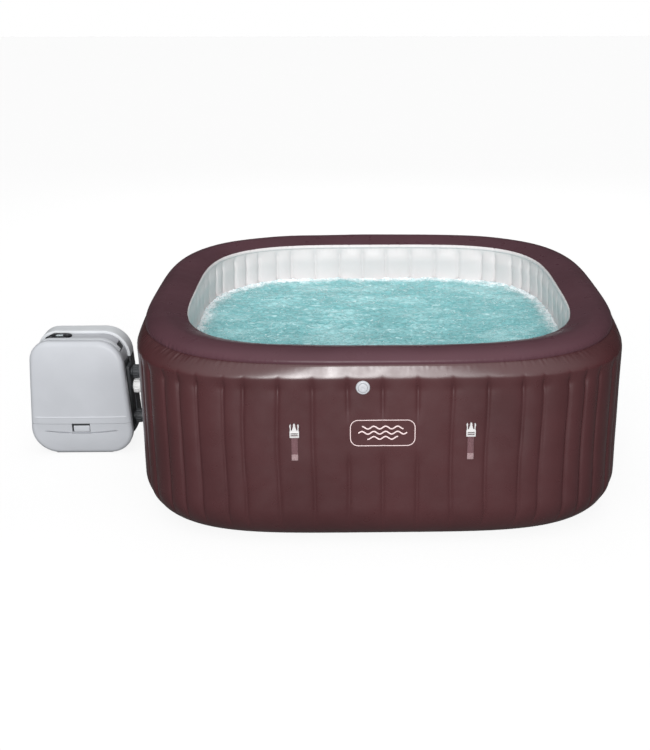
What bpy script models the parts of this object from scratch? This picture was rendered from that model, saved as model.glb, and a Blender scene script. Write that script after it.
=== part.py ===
"""Square inflatable hot tub with its pump and heater unit.

The tub is an air chamber between an outer wall and an inner liner, closed by a padded top rim and
kept in shape by inner webs. The pump unit stands on the floor beside it and feeds it through three
couplings. Metres, +Z up. The origin is the middle of the tub's underside, the front faces -Y, and
the pump unit stands on the -X side.
"""

import bpy
import bmesh
from math import cos, pi, radians, sin, tan
from mathutils import Vector

# ---- tub ----
TUB_HEIGHT = 0.80
OUTER_HALF = 1.005  # half the side of the tub, at mid height
OUTER_POWER = 4.35  # superellipse powers: how square each outline is
LINER_HALF = 0.8166
LINER_POWER = 3.70
TOP_ROLL = 0.082  # radius from the wall into the rim
BOTTOM_ROLL = 0.168  # radius from the wall into the floor
SEAM_ANGLE = 25.0  # degrees up the top roll, where the rim is welded to the wall
SKIN = 0.003  # wall thickness of every skin and casing
GAP = 0.0003  # between pieces that touch
RIM_EDGE_Z = 0.767  # inner edge of the rim
LINER_TOP_Z = 0.745
AROUND = 48  # points around each tub outline

# ---- inside the air chamber ----
WEB_COUNT = 40
WEB_LOW, WEB_HIGH = 0.40, 0.70
JET_Z = 0.30
JET_X = 0.24
JET_PIPE_HALF, JET_PIPE_RADIUS = 0.853, 0.018

# ---- small parts of the tub ----
VALVE_X, VALVE_Z = -0.074, 0.670
VALVE_RADIUS = 0.0255
DRAIN_Y, DRAIN_Z = 0.20, 0.135
DRAIN_HOLE_RADIUS, VALVE_HOLE_RADIUS, JET_HOLE_RADIUS = 0.0175, 0.0155, 0.0205
STRAP_X = 0.333
STRAP_Y, BUCKLE_Y = 1.0055, 1.0090  # middles of the webbing and the buckles, off the wall
STRAP_LENGTH, STRAP_WIDTH, STRAP_THICK = 0.085, 0.025, 0.002
STRAP_TOP_Z = 0.4615
BUCKLE_HINGE_Z = 0.470
BUCKLE_LENGTH, BUCKLE_WIDTH, BUCKLE_THICK = 0.056, 0.036, 0.010

# ---- couplings between the pump unit and the tub ----
PORT_Y = 0.045
PORT_ZS = (0.362, 0.292, 0.142)
PIPE_RADIUS, BORE_RADIUS = 0.019, 0.014
HOLE_CLEARANCE = 0.0015
PORT_FRONT_Y, PORT_BACK_Y, PORT_LOW, PORT_HIGH = 0.004, 0.086, 0.110, 0.398  # block on the unit's side

# ---- pump unit ----
POD_X = -1.3655  # middle of the unit
POD_HEIGHT = 0.545
POD_LOW = 0.004  # underside of the shells, on the base plate
POD_HALF_LOW, POD_HALF_HIGH = 0.2385, 0.205
POD_ROUND_LOW, POD_ROUND_HIGH = 0.115, 0.120
BAND_INSET = 0.012  # how far the middle band is set back from the shells
SHELL_BACK_Y = 0.205
BAND_FRONT_Y, BAND_BACK_Y = -0.045, 0.092
COVER_SEAM_Z, COVER_SEAM = 0.156, 0.003  # where the front cover ends, and its gap
FILTER_HALF, FILTER_LOW, FILTER_HIGH = 0.13, 0.26, 0.40  # opening for the filter cartridge
RAIL_LENGTH = 0.150  # left of the middle of the unit
LATCH_WIDTH, LATCH_LOW = 0.077, 0.118
RIB_PITCH = 0.012  # of the side vents
HAND_ANGLE, HAND_SLOT = 38.0, 0.046  # hand holes: degrees up the top corners, and their width
PANEL_TOP_Z = 0.538
BUTTON_RADIUS = 0.004
BUTTON_PLACES = (("power", -1.497, 0.030), ("bubbles", -1.440, 0.030), ("jets", -1.426, 0.052),
                 ("heat", -1.440, 0.074), ("up", -1.484, 0.074), ("down", -1.462, 0.074))


def clear_scene():
    for item in list(bpy.data.objects):
        bpy.data.objects.remove(item, do_unlink=True)


clear_scene()
TUB = bpy.data.collections.new("InflatableHotTub")
CUTTERS = bpy.data.collections.new("Cutters")
bpy.context.scene.collection.children.link(TUB)
bpy.context.scene.collection.children.link(CUTTERS)


# ---- materials ----
def material(name, colour, roughness, metallic=0.0):
    made = bpy.data.materials.new(name)
    made.use_nodes = True
    shader = made.node_tree.nodes["Principled BSDF"]
    shader.inputs["Base Color"].default_value = (*colour, 1.0)
    shader.inputs["Roughness"].default_value = roughness
    shader.inputs["Metallic"].default_value = metallic
    return made


PLUM = ((0.087, 0.037, 0.042), 0.45)
PLUM_RIM = ((0.098, 0.052, 0.062), 0.5)
WHITE_SKIN = ((0.80, 0.82, 0.83), 0.4)
GREY_SHELL = ((0.52, 0.54, 0.56), 0.42)
MID_GREY = ((0.40, 0.41, 0.44), 0.5)
DARK_GREY = ((0.035, 0.037, 0.040), 0.55)
BLACK_GLOSS = ((0.01, 0.01, 0.012), 0.15)
WHITE_PLASTIC = ((0.75, 0.77, 0.78), 0.35)
PALE_PLASTIC = ((0.60, 0.62, 0.64), 0.35)
WEBBING = ((0.14, 0.08, 0.09), 0.8)
STEEL = ((0.55, 0.56, 0.57), 0.3, 1.0)
GREEN_BOARD = ((0.03, 0.16, 0.07), 0.5)
PAPER_FILTER = ((0.78, 0.80, 0.82), 0.9)


# ---- shapes ----
def add_object(name, mesh, look, place=(0, 0, 0), turn=(0, 0, 0)):
    made = bpy.data.objects.new(name, mesh)
    made.location = place
    made.rotation_euler = turn
    if look is None:
        CUTTERS.objects.link(made)
        made.hide_render = True
        made.display_type = "WIRE"
    else:
        TUB.objects.link(made)
        mesh.materials.append(material(name, *look))
    return made


def mesh_from(bm, name):
    bmesh.ops.recalc_face_normals(bm, faces=bm.faces)
    mesh = bpy.data.meshes.new(name)
    bm.to_mesh(mesh)
    bm.free()
    return mesh


def loft(name, rings, look, looped=False, front_cap=True, back_cap=True):
    """Skin through rings of points. A looped loft joins the last ring to the first."""
    bm = bmesh.new()
    rows = [[bm.verts.new(point) for point in ring] for ring in rings]
    count = len(rows[0])
    pairs = list(zip(rows, rows[1:])) + ([(rows[-1], rows[0])] if looped else [])
    for low, high in pairs:
        for i in range(count):
            bm.faces.new((low[i], low[(i + 1) % count], high[(i + 1) % count], high[i]))
    if not looped and front_cap:
        bm.faces.new(rows[0])
    if not looped and back_cap:
        bm.faces.new(rows[-1])
    return add_object(name, mesh_from(bm, name), look)


def box(name, low, high, look, bevel=0.0):
    low, high = Vector(low), Vector(high)
    bm = bmesh.new()
    bmesh.ops.create_cube(bm, size=1.0)
    bmesh.ops.scale(bm, vec=high - low, verts=bm.verts)
    made = add_object(name, mesh_from(bm, name), look, (low + high) / 2)
    if bevel:
        rounding = made.modifiers.new("Rounding", "BEVEL")
        rounding.width = bevel
        rounding.segments = 2
    return made


ALONG = {"X": (0, radians(90), 0), "Y": (radians(-90), 0, 0), "Z": (0, 0, 0)}


def cylinder(name, radius, length, place, axis, look=None, segments=16):
    """Cylinder with its middle at place."""
    bm = bmesh.new()
    bmesh.ops.create_cone(bm, cap_ends=True, segments=segments, radius1=radius, radius2=radius, depth=length)
    return add_object(name, mesh_from(bm, name), look, place, ALONG[axis])


def turned(name, profile, place, axis, look, segments=16, closed=False):
    """Turned piece. The profile is (radius, height along the axis) down its outer side."""
    mesh = bpy.data.meshes.new(name)
    last = len(profile) - 1
    edges = [(i, i + 1) for i in range(last)] + ([(last, 0)] if closed else [])
    mesh.from_pydata([(radius, 0, height) for radius, height in profile], edges, [])
    made = add_object(name, mesh, look, place, ALONG[axis])
    screw = made.modifiers.new("Turn", "SCREW")
    screw.axis = "Z"
    screw.steps = screw.render_steps = segments
    screw.use_merge_vertices = True
    screw.merge_threshold = 0.00001
    return made


def prism(name, outline, axis, low, high, look):
    """Flat outline pushed from low to high: (x, z) points along Y, or (x, y) points along Z."""
    if axis == "Y":
        rings = [[(x, level, z) for x, z in outline] for level in (low, high)]
    else:
        rings = [[(x, y, level) for x, y in outline] for level in (low, high)]
    return loft(name, rings, look)


def cut(target, cutter, operation="DIFFERENCE"):
    step = target.modifiers.new(cutter.name, "BOOLEAN")
    step.operation = operation
    step.object = cutter
    return target


def squircle(half, power, z, count=AROUND):
    """Superellipse outline, with its points closest together at the corners."""
    ring = []
    for i in range(count):
        c, s = cos(2 * pi * i / count), sin(2 * pi * i / count)
        x = half * abs(c) ** (2 / power) * (1 if c > 0 else -1)
        y = half * abs(s) ** (2 / power) * (1 if s > 0 else -1)
        ring.append((x, y, z))
    return ring


def skin_loft(name, section, look):
    """Closed skin around the tub. The section lists (half side, z, power) down its outer face, and
    the inner face lies SKIN inside it, measured square to the section. Both ends are cut level or
    upright, so that they meet the next skin squarely."""
    inner = []
    last = len(section) - 1
    for i, (half, z, power) in enumerate(section):
        before, after = section[max(i - 1, 0)], section[min(i + 1, last)]
        run = Vector((after[0] - before[0], after[1] - before[1])).normalized()
        if i in (0, last):
            upright = abs(run.y) > abs(run.x)
            run = Vector((0, run.y)).normalized() if upright else Vector((run.x, 0)).normalized()
        inner.append((half + run.y * SKIN, z - run.x * SKIN, power))
    rings = [squircle(half, power, z) for half, z, power in section + inner[::-1]]
    return loft(name, rings, look, looped=True)


# ---- tub skins ----
def make_outer_wall():
    low_middle = OUTER_HALF - BOTTOM_ROLL
    high_middle = OUTER_HALF - TOP_ROLL
    section = []
    for degrees in (SEAM_ANGLE, 0):
        section.append((high_middle + TOP_ROLL * cos(radians(degrees)),
                        TUB_HEIGHT - TOP_ROLL + TOP_ROLL * sin(radians(degrees)), OUTER_POWER))
    for degrees in (0, 23, 46, 68, 90):
        section.append((low_middle + BOTTOM_ROLL * cos(radians(degrees)),
                        BOTTOM_ROLL - BOTTOM_ROLL * sin(radians(degrees)), OUTER_POWER))
    wall = skin_loft("outer_wall", section, PLUM)
    for number, z in enumerate(PORT_ZS, 1):
        cut(wall, cylinder(f"wall_hole_{number}", PIPE_RADIUS + HOLE_CLEARANCE, 0.1, (-1.0, PORT_Y, z), "X"))
    cut(wall, cylinder("valve_hole", VALVE_HOLE_RADIUS, 0.1, (VALVE_X, -1.0, VALVE_Z), "Y"))
    cut(wall, cylinder("drain_hole_outer", DRAIN_HOLE_RADIUS, 0.1, (1.0, DRAIN_Y, DRAIN_Z), "X"))


def make_top_rim():
    middle = OUTER_HALF - TOP_ROLL
    section = []
    for degrees in (SEAM_ANGLE + 0.25, 46, 67, 90):
        section.append((middle + TOP_ROLL * cos(radians(degrees)),
                        TUB_HEIGHT - TOP_ROLL + TOP_ROLL * sin(radians(degrees)), OUTER_POWER))
    inner_edge = ((0.865, 0.796), (0.833, 0.783), (LINER_HALF + SKIN, RIM_EDGE_Z), (LINER_HALF, LINER_TOP_Z + GAP))
    for half, z in inner_edge:
        share = (middle - half) / (middle - LINER_HALF)
        section.append((half, z, OUTER_POWER + (LINER_POWER - OUTER_POWER) * share))
    skin_loft("top_rim", section[::-1], PLUM_RIM)


def make_liner():
    section = [(LINER_HALF + SKIN, z, LINER_POWER) for z in (LINER_TOP_Z, 0.0072)]
    liner = skin_loft("inner_liner", section, WHITE_SKIN)
    for number, z in enumerate(PORT_ZS, 1):
        cut(liner, cylinder(f"liner_hole_{number}", PIPE_RADIUS + HOLE_CLEARANCE, 0.1, (-LINER_HALF, PORT_Y, z), "X"))
    for number, (x, side) in enumerate(jet_places(), 1):
        cut(liner, cylinder(f"jet_hole_{number}", JET_HOLE_RADIUS, 0.1, (x, side * LINER_HALF, JET_Z), "Y"))
    cut(liner, cylinder("drain_hole_inner", DRAIN_HOLE_RADIUS, 0.1, (LINER_HALF, DRAIN_Y, DRAIN_Z), "X"))


def make_floors():
    half = OUTER_HALF - BOTTOM_ROLL - GAP
    loft("base_sheet", [squircle(half, OUTER_POWER, z) for z in (0.0, SKIN)], DARK_GREY)
    loft("tub_floor", [squircle(LINER_HALF, LINER_POWER, z) for z in (SKIN + GAP, 2 * SKIN + GAP)], WHITE_SKIN)
    rows = [(0.70, 0.0070), (0.785, 0.0070), (0.778, 0.026), (0.707, 0.026)]
    rings = [squircle(side, LINER_POWER, z) for side, z in rows]
    loft("air_channel", rings, WHITE_SKIN, looped=True)


def make_web():
    """Zigzag web that ties the outer wall to the liner, with a corner on each skin in turn."""
    path = []
    for i in range(2 * WEB_COUNT):
        half, power = (0.995, OUTER_POWER) if i % 2 else (0.827, LINER_POWER)
        angle = pi * (i + 0.5) / WEB_COUNT
        reach = half / (abs(cos(angle)) ** power + abs(sin(angle)) ** power) ** (1 / power)
        path.append(Vector((reach * cos(angle), reach * sin(angle))))
    sides = ([], [])
    for i, point in enumerate(path):
        before, after = path[i - 1], path[(i + 1) % len(path)]
        outward = ((after - before).normalized()).orthogonal() * -1
        for row, shift in zip(sides, (0.001, -0.001)):
            lean = abs((after - point).normalized().dot((after - before).normalized()))
            row.append(point + outward * shift / max(lean, 0.3))
    inner, outer = sides
    rings = [[(*p, WEB_LOW) for p in inner], [(*p, WEB_LOW) for p in outer],
             [(*p, WEB_HIGH) for p in outer], [(*p, WEB_HIGH) for p in inner]]
    loft("tension_web", rings, WHITE_SKIN, looped=True)


def make_jet_pipe():
    """Pipe that feeds the jets, around the chamber and open on the pump unit's side."""
    curve = bpy.data.curves.new("jet_pipe", "CURVE")
    curve.dimensions = "3D"
    curve.bevel_depth = JET_PIPE_RADIUS
    curve.bevel_resolution = 1
    curve.use_fill_caps = True
    first, last, steps = radians(-163), radians(165), 36
    line = curve.splines.new("POLY")
    line.points.add(steps)
    for i in range(steps + 1):
        angle = first + (last - first) * i / steps
        power = LINER_POWER
        reach = JET_PIPE_HALF / (abs(cos(angle)) ** power + abs(sin(angle)) ** power) ** (1 / power)
        line.points[i].co = (reach * cos(angle), reach * sin(angle), JET_Z, 1)
    made = bpy.data.objects.new("jet_pipe", curve)
    TUB.objects.link(made)
    curve.materials.append(material("jet_pipe", *MID_GREY))


def jet_places():
    return [(x, side) for side in (-1, 1) for x in (-JET_X, JET_X)]


def make_jets():
    """Round nozzles that turn in the liner. Heights run from the pipe towards the water."""
    profile = [(0.0085, 0.0285), (0.022, 0.0265), (0.034, 0.0195), (0.034, 0.0145), (0.0195, 0.0145),
               (0.0195, 0.0), (0.0085, 0.0)]
    for number, (x, side) in enumerate(jet_places(), 1):
        jet = turned(f"jet_nozzle_{number}", profile, (x, side * 0.826, JET_Z), "Y", PALE_PLASTIC, closed=True)
        if side > 0:
            jet.rotation_euler = (radians(90), 0, 0)


# ---- air valve, drain, straps and buckles ----
def make_air_valve():
    """Inflation valve on the front wall. Heights run inwards from the cap's face."""
    place = (VALVE_X, -1.0175, VALVE_Z)
    turned("air_valve_cap", [(0.0, 0.0055), (0.0165, 0.0055), (0.0175, 0.002), (0.015, 0.0), (0.0, 0.0)],
           place, "Y", WHITE_PLASTIC)
    turned("air_valve_body", [(0.0145, 0.050), (0.0145, 0.012), (VALVE_RADIUS, 0.012), (VALVE_RADIUS, 0.0075),
                              (0.023, 0.0035), (0.0185, 0.0035), (0.0185, 0.0065), (0.011, 0.0065), (0.011, 0.050)],
           place, "Y", WHITE_PLASTIC, closed=True)


def make_drain():
    """Drain through both walls. Heights run from the basin outwards."""
    start = (0.800, DRAIN_Y, DRAIN_Z)
    turned("drain_fitting", [(0.018, 0.2165), (0.018, 0.212), (0.031, 0.212), (0.031, 0.2065), (0.0165, 0.2065),
                             (0.0165, 0.0125), (0.028, 0.0125), (0.028, 0.008), (0.018, 0.008), (0.018, 0.004),
                             (0.012, 0.004), (0.012, 0.2165)], start, "X", WHITE_PLASTIC, closed=True)
    turned("drain_cap_outer", [(0.0, 0.010), (0.025, 0.010), (0.026, 0.007), (0.026, -0.004), (0.019, -0.004),
                               (0.019, 0.002), (0.0, 0.002)], (1.0171, DRAIN_Y, DRAIN_Z), "X", WHITE_PLASTIC)
    turned("drain_cap_inner", [(0.0, 0.0), (0.019, 0.0), (0.019, 0.0035), (0.024, 0.0035), (0.024, -0.004),
                               (0.022, -0.006), (0.0, -0.006)], (0.8037, DRAIN_Y, DRAIN_Z), "X", WHITE_PLASTIC)


def make_straps():
    """Cover straps on the front and back walls, each with half a side-release buckle."""
    number = 0
    for side in (-1, 1):
        for x in (-STRAP_X, STRAP_X):
            number += 1
            half, y = STRAP_WIDTH / 2, side * STRAP_Y
            box(f"strap_{number}", (x - half, y - STRAP_THICK / 2, STRAP_TOP_Z - STRAP_LENGTH),
                (x + half, y + STRAP_THICK / 2, STRAP_TOP_Z), WEBBING)
            make_buckle(f"buckle_{number}", x, side * BUCKLE_Y)


def make_buckle(name, x, y):
    """Male half of a buckle: a slotted base that holds the webbing, two side prongs, and a guide tongue."""
    half, low = BUCKLE_WIDTH / 2, BUCKLE_HINGE_Z + 0.001
    base_top, top = low + 0.026, low + BUCKLE_LENGTH
    right = [(half, low + 0.002), (half, base_top), (half - 0.003, base_top + 0.003), (half - 0.003, top - 0.014),
             (half, top - 0.010), (half - 0.003, top - 0.002), (half - 0.007, top), (half - 0.009, top - 0.003),
             (half - 0.009, base_top + 0.004), (0.004, base_top + 0.004), (0.003, top - 0.003), (0.0, top - 0.002)]
    left = [(-across, z) for across, z in right[-2::-1]]
    outline = [(x + across, z) for across, z in right + left + [(-half + 0.002, low), (half - 0.002, low)]]
    buckle = prism(name, outline, "Y", y - BUCKLE_THICK / 2, y + BUCKLE_THICK / 2, WHITE_PLASTIC)
    slot = box(f"{name}_slot", (x - 0.0135, y - 0.02, low + 0.009), (x + 0.0135, y + 0.02, low + 0.016), None)
    cut(buckle, slot)


# ---- couplings ----
def make_couplings():
    """Three water and air lines. Heights run from the pump unit towards the tub."""
    fitting = [(0.0275, 0.290), (0.034, 0.290), (0.034, 0.2827), (PIPE_RADIUS, 0.2827), (PIPE_RADIUS, 0.091),
               (0.034, 0.091), (0.034, 0.0835), (0.025, 0.0835), (0.025, 0.0), (BORE_RADIUS, 0.0),
               (BORE_RADIUS, 0.284), (0.0275, 0.284)]
    nut = [(0.029, 0.060), (0.033, 0.056), (0.033, 0.004), (0.030, 0.0), (0.0205, 0.0), (0.0205, 0.006),
           (0.0262, 0.0075), (0.0262, 0.060)]
    for number, z in enumerate(PORT_ZS, 1):
        turned(f"wall_fitting_{number}", fitting, (-1.097, PORT_Y, z), "X", WHITE_PLASTIC, closed=True)
        look = WHITE_PLASTIC if number == 2 else DARK_GREY
        turned(f"coupling_nut_{number}", nut, (-1.135, PORT_Y, z), "X", look, closed=True)
    for number, z in enumerate(PORT_ZS[:2], 1):
        screen = turned(f"intake_screen_{number}", [(0.0, 0.026), (0.013, 0.0245), (0.022, 0.018), (0.0265, 0.008),
                                                    (0.0265, 0.0), (0.023, 0.0), (0.023, 0.008), (0.0, 0.021)],
                        (-0.8125, PORT_Y, z), "X", MID_GREY)
        for side in (-0.010, 0.0, 0.010):
            slot = box(f"screen_{number}_slot_{side}", (-0.85, PORT_Y + side - 0.002, z - 0.015),
                       (-0.75, PORT_Y + side + 0.002, z + 0.015), None)
            cut(screen, slot)


# ---- pump unit ----
def round_corners(corners, steps):
    """Outline with each (x, z, radius) corner rounded by an arc of so many steps."""
    outline = []
    for i, (x, z, radius) in enumerate(corners):
        here = Vector((x, z))
        before = (Vector(corners[i - 1][:2]) - here).normalized()
        after = (Vector(corners[(i + 1) % len(corners)][:2]) - here).normalized()
        half_turn = before.angle(after) / 2
        middle = here + (before + after).normalized() * radius / sin(half_turn)
        start = here + before * radius / tan(half_turn) - middle
        sweep = -start.angle_signed(here + after * radius / tan(half_turn) - middle)
        for k in range(steps + 1):
            angle = sweep * k / steps
            outline.append((middle.x + start.x * cos(angle) - start.y * sin(angle),
                            middle.y + start.x * sin(angle) + start.y * cos(angle)))
    return outline


def pod_outline(inset, steps=6):
    """Front view outline of the pump unit, set in by a margin, counter-clockwise from its lower right."""
    low, high = POD_LOW + inset, POD_HEIGHT - inset
    half_low, half_high = POD_HALF_LOW - inset, POD_HALF_HIGH - inset
    round_low, round_high = max(POD_ROUND_LOW - inset, 0.02), max(POD_ROUND_HIGH - inset, 0.02)
    corners = [(half_low, low, round_low), (half_high, high, round_high), (-half_high, high, round_high),
               (-half_low, low, round_low)]
    return [(POD_X + x, z) for x, z in round_corners(corners, steps)]


def pod_shell(name, steps, look):
    """Casing open at its first ring and closed at its last. Each step is (y, inset)."""
    rings = [[(x, y, z) for x, z in pod_outline(inset)] for y, inset in steps]
    shell = loft(name, rings, look, front_cap=False)
    wall = shell.modifiers.new("Wall", "SOLIDIFY")
    wall.thickness = SKIN
    wall.offset = -1.0
    wall.use_even_offset = True
    return shell


FRONT_STEPS = ((BAND_FRONT_Y, 0.0125), (BAND_FRONT_Y, 0.002), (BAND_FRONT_Y - 0.002, 0.0), (-0.068, 0.0),
               (-0.077, 0.004), (-0.083, 0.014), (-0.087, 0.035), (-0.090, 0.075))
BACK_STEPS = ((BAND_BACK_Y, 0.0125), (BAND_BACK_Y, 0.002), (BAND_BACK_Y + 0.002, 0.0), (0.175, 0.0),
              (0.190, 0.006), (0.199, 0.018), (SHELL_BACK_Y, 0.045))


def make_front():
    cover = pod_shell("front_cover", FRONT_STEPS, GREY_SHELL)
    cut(cover, box("cover_space", (-1.7, -0.2, COVER_SEAM_Z + COVER_SEAM / 2), (-1.0, 0.1, 0.7), None), "INTERSECT")
    lower = pod_shell("lower_front_shell", FRONT_STEPS, GREY_SHELL)
    cut(lower, box("lower_space", (-1.7, -0.2, -0.1), (-1.0, 0.1, COVER_SEAM_Z - COVER_SEAM / 2), None), "INTERSECT")
    half = LATCH_WIDTH / 2
    pocket = box("latch_pocket", (POD_X - half - 0.001, -0.2, LATCH_LOW - 0.001),
                 (POD_X + half + 0.001, -0.075, COVER_SEAM_Z + 0.1), None)
    cut(lower, pocket)
    tab = box("latch_tab", (POD_X - half, -0.096, LATCH_LOW), (POD_X + half, -0.086, COVER_SEAM_Z - 0.001),
              GREY_SHELL)
    hook = box("latch_hook", (POD_X - 0.012, -0.090, 0.128), (POD_X + 0.012, -0.062, 0.140), None)
    cut(tab, hook, "UNION")


def make_centre_frame():
    """Middle band of the casing, closed at the front by a bulkhead with the filter opening."""
    steps = ((BAND_BACK_Y - GAP - 0.0002, BAND_INSET), (0.0, BAND_INSET), (BAND_FRONT_Y + 0.001, BAND_INSET))
    frame = pod_shell("centre_frame", steps, MID_GREY)
    cut(frame, box("filter_opening", (POD_X - FILTER_HALF, -0.06, FILTER_LOW),
                   (POD_X + FILTER_HALF, -0.02, FILTER_HIGH), None))
    cut(frame, box("port_opening", (-1.20, PORT_FRONT_Y - 0.001, PORT_LOW - 0.001),
                   (-1.10, PORT_BACK_Y + 0.001, PORT_HIGH + 0.001), None))
    reach = POD_ROUND_HIGH - BAND_INSET
    for name, side in (("left", -1), ("right", 1)):
        slot = box(f"hand_hole_{name}", (-0.02, 0.010, -HAND_SLOT / 2), (0.02, 0.080, HAND_SLOT / 2), None)
        slot.location.x = POD_X + side * (POD_HALF_HIGH - POD_ROUND_HIGH + reach * cos(radians(HAND_ANGLE)))
        slot.location.z = POD_HEIGHT - POD_ROUND_HIGH + reach * sin(radians(HAND_ANGLE))
        slot.rotation_euler = (0, radians(-side * HAND_ANGLE), 0)
        cut(frame, slot)


def make_rail():
    """Raised rail along the front of the band, over the top and down the right-hand corner."""
    left_end = POD_X - RAIL_LENGTH
    edges = []
    for inset, lowest in ((0.0035, 0.495), (BAND_INSET - GAP, 0.490)):
        edge = [(x, z) for x, z in pod_outline(inset) if z > lowest and x > left_end]
        edges.append(edge + [(left_end, POD_HEIGHT - inset)])
    outer, inner = edges
    prism("top_rail", outer + inner[::-1], "Y", -0.030, 0.0, GREY_SHELL)


def make_rear():
    pod_shell("rear_shell", BACK_STEPS, GREY_SHELL)
    box("base_plate", (POD_X - 0.13, -0.060, 0.0), (POD_X + 0.13, 0.175, POD_LOW - GAP), DARK_GREY)
    turned("cord_gland", [(0.0055, 0.022), (0.009, 0.022), (0.0105, 0.006), (0.014, 0.006), (0.014, 0.0),
                          (0.0055, 0.0)], (POD_X - 0.10, 0.2075, 0.090), "Y", DARK_GREY, closed=True)


def make_grilles():
    """Ribbed vents down both sides of the band, tilted with the casing's sides."""
    lean = (POD_HALF_LOW - POD_HALF_HIGH) / (POD_HEIGHT - POD_LOW)
    for name, side, low, high in (("left", -1, 0.10, 0.42), ("right", 1, 0.404, 0.430)):
        ribs = int((high - low) / RIB_PITCH)
        outline = [(0.0, 0.0)]
        for i in range(ribs):
            foot = i * RIB_PITCH
            outline += [(0.0035, foot), (0.0075, foot + 0.002), (0.0075, foot + 0.005), (0.0035, foot + 0.007)]
        outline.append((0.0, ribs * RIB_PITCH))
        base = POD_X + side * (POD_HALF_LOW - BAND_INSET + 0.0008 - lean * (low - POD_LOW))
        grille = prism(f"vent_grille_{name}", [(side * x, z) for x, z in outline], "Y", 0.006, 0.086, DARK_GREY)
        grille.location = (base, 0, low)
        grille.rotation_euler = (0, -side * lean, 0)


def make_port_block():
    block = box("port_block", (-1.185, PORT_FRONT_Y, PORT_LOW), (-1.1435, PORT_BACK_Y, PORT_HIGH), DARK_GREY)
    for number, z in enumerate(PORT_ZS, 1):
        nipple = turned(f"nipple_{number}", [(0.0, 0.049), (0.025, 0.049), (0.025, 0.023), (PIPE_RADIUS, 0.023),
                                             (PIPE_RADIUS, 0.0), (0.0, 0.0)], (-1.150, PORT_Y, z), "X", None)
        cut(block, nipple, "UNION")
    for number, z in enumerate(PORT_ZS, 1):
        cut(block, cylinder(f"port_bore_{number}", BORE_RADIUS, 0.3, (-1.12, PORT_Y, z), "X"))


# ---- control panel ----
def make_panel():
    """Flat-topped panel on the band, shaped underneath to the casing's round corner."""
    plan = [(-1.516, 0.012), (-1.430, 0.012), (-1.414, 0.030), (-1.409, 0.052), (-1.418, 0.076), (-1.434, 0.088),
            (-1.494, 0.088)]
    panel = prism("control_panel", plan, "Z", 0.500, PANEL_TOP_Z, BLACK_GLOSS)
    cut(panel, prism("band_shape", pod_outline(BAND_INSET - GAP, 16), "Y", -0.2, 0.3, None))
    for name, x, y in BUTTON_PLACES:
        cut(panel, cylinder(f"hole_{name}", BUTTON_RADIUS + 0.0006, 0.004, (x, y, PANEL_TOP_Z), "Z", None, 16))
        cylinder(f"button_{name}", BUTTON_RADIUS, 0.0021, (x, y, PANEL_TOP_Z - 0.0001), "Z", DARK_GREY, 16)
    recess_z, glass_z = PANEL_TOP_Z - 0.0015, PANEL_TOP_Z - 0.0012
    cut(panel, box("window_recess", (-1.478, 0.040, recess_z), (-1.446, 0.062, PANEL_TOP_Z + 0.01), None))
    box("display_window", (-1.4775, 0.0405, glass_z), (-1.4465, 0.0615, PANEL_TOP_Z + 0.0002), WHITE_PLASTIC)


# ---- inside the pump unit ----
def make_works():
    make_filter()
    motor_at, blower_at = (-1.405, 0.125, 0.105), (-1.405, 0.125, 0.385)
    cylinder("pump_motor", 0.045, 0.130, (-1.475, 0.125, 0.105), "X", STEEL)
    turned("volute", [(0.016, 0.068), (0.066, 0.068), (0.066, 0.0), (0.010, 0.0), (0.010, 0.004), (0.061, 0.004),
                      (0.061, 0.064), (0.016, 0.064)], motor_at, "X", DARK_GREY, closed=True)
    make_rotor("impeller", 0.050, 7, (-1.395, 0.125, 0.105), MID_GREY)
    turned("air_blower", [(0.022, 0.075), (0.060, 0.075), (0.060, 0.0), (0.010, 0.0), (0.010, 0.004), (0.055, 0.004),
                          (0.055, 0.071), (0.022, 0.071)], blower_at, "X", MID_GREY, closed=True)
    make_rotor("blower_fan", 0.046, 9, (-1.392, 0.125, 0.385), WHITE_PLASTIC)
    turned("heater_tube", [(0.030, 0.240), (0.030, 0.0), (0.026, 0.0), (0.026, 0.240)], (-1.485, 0.125, 0.245), "X",
           STEEL, closed=True)
    box("circuit_box", (-1.470, 0.025, 0.430), (-1.330, 0.085, 0.490), GREEN_BOARD, bevel=0.003)


def make_rotor(name, radius, blades, place, look):
    """Hub and disc with straight blades, turning about X."""
    rotor = turned(name, [(0.0, 0.030), (0.009, 0.030), (0.009, 0.003), (radius, 0.003), (radius, 0.0), (0.0, 0.0)],
                   place, "X", look)
    outline = [(0.002, 0.005), (0.022, 0.005), (0.022, radius - 0.003), (0.002, radius - 0.003)]
    for i in range(blades):
        blade = prism(f"{name}_blade_{i}", outline, "Y", -0.0015, 0.0015, None)
        blade.location = place
        blade.rotation_euler = (2 * pi * i / blades, 0, 0)
        cut(rotor, blade, "UNION")


def make_filter():
    """Pleated filter cartridge, lying across the unit behind the front cover."""
    pleats, rings = 20, []
    for x in (-0.1, 0.1):
        ring = []
        for i in range(2 * pleats):
            angle = pi * i / pleats
            reach = 0.036 if i % 2 else 0.044
            ring.append((POD_X + x, 0.020 + reach * cos(angle), 0.330 + reach * sin(angle)))
        rings.append(ring)
    loft("filter_cartridge", rings, PAPER_FILTER)


make_outer_wall()
make_top_rim()
make_liner()
make_floors()
make_web()
make_jet_pipe()
make_jets()
make_air_valve()
make_drain()
make_straps()
make_couplings()
make_front()
make_centre_frame()
make_rail()
make_rear()
make_grilles()
make_port_block()
make_panel()
make_works()
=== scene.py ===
"""Looks of the square inflatable hot tub and its pump unit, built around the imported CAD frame."""
import bmesh
import bpy
import numpy as np
from math import cos, pi, radians, sin, sqrt, tan
from mathutils import Matrix, Vector


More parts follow.
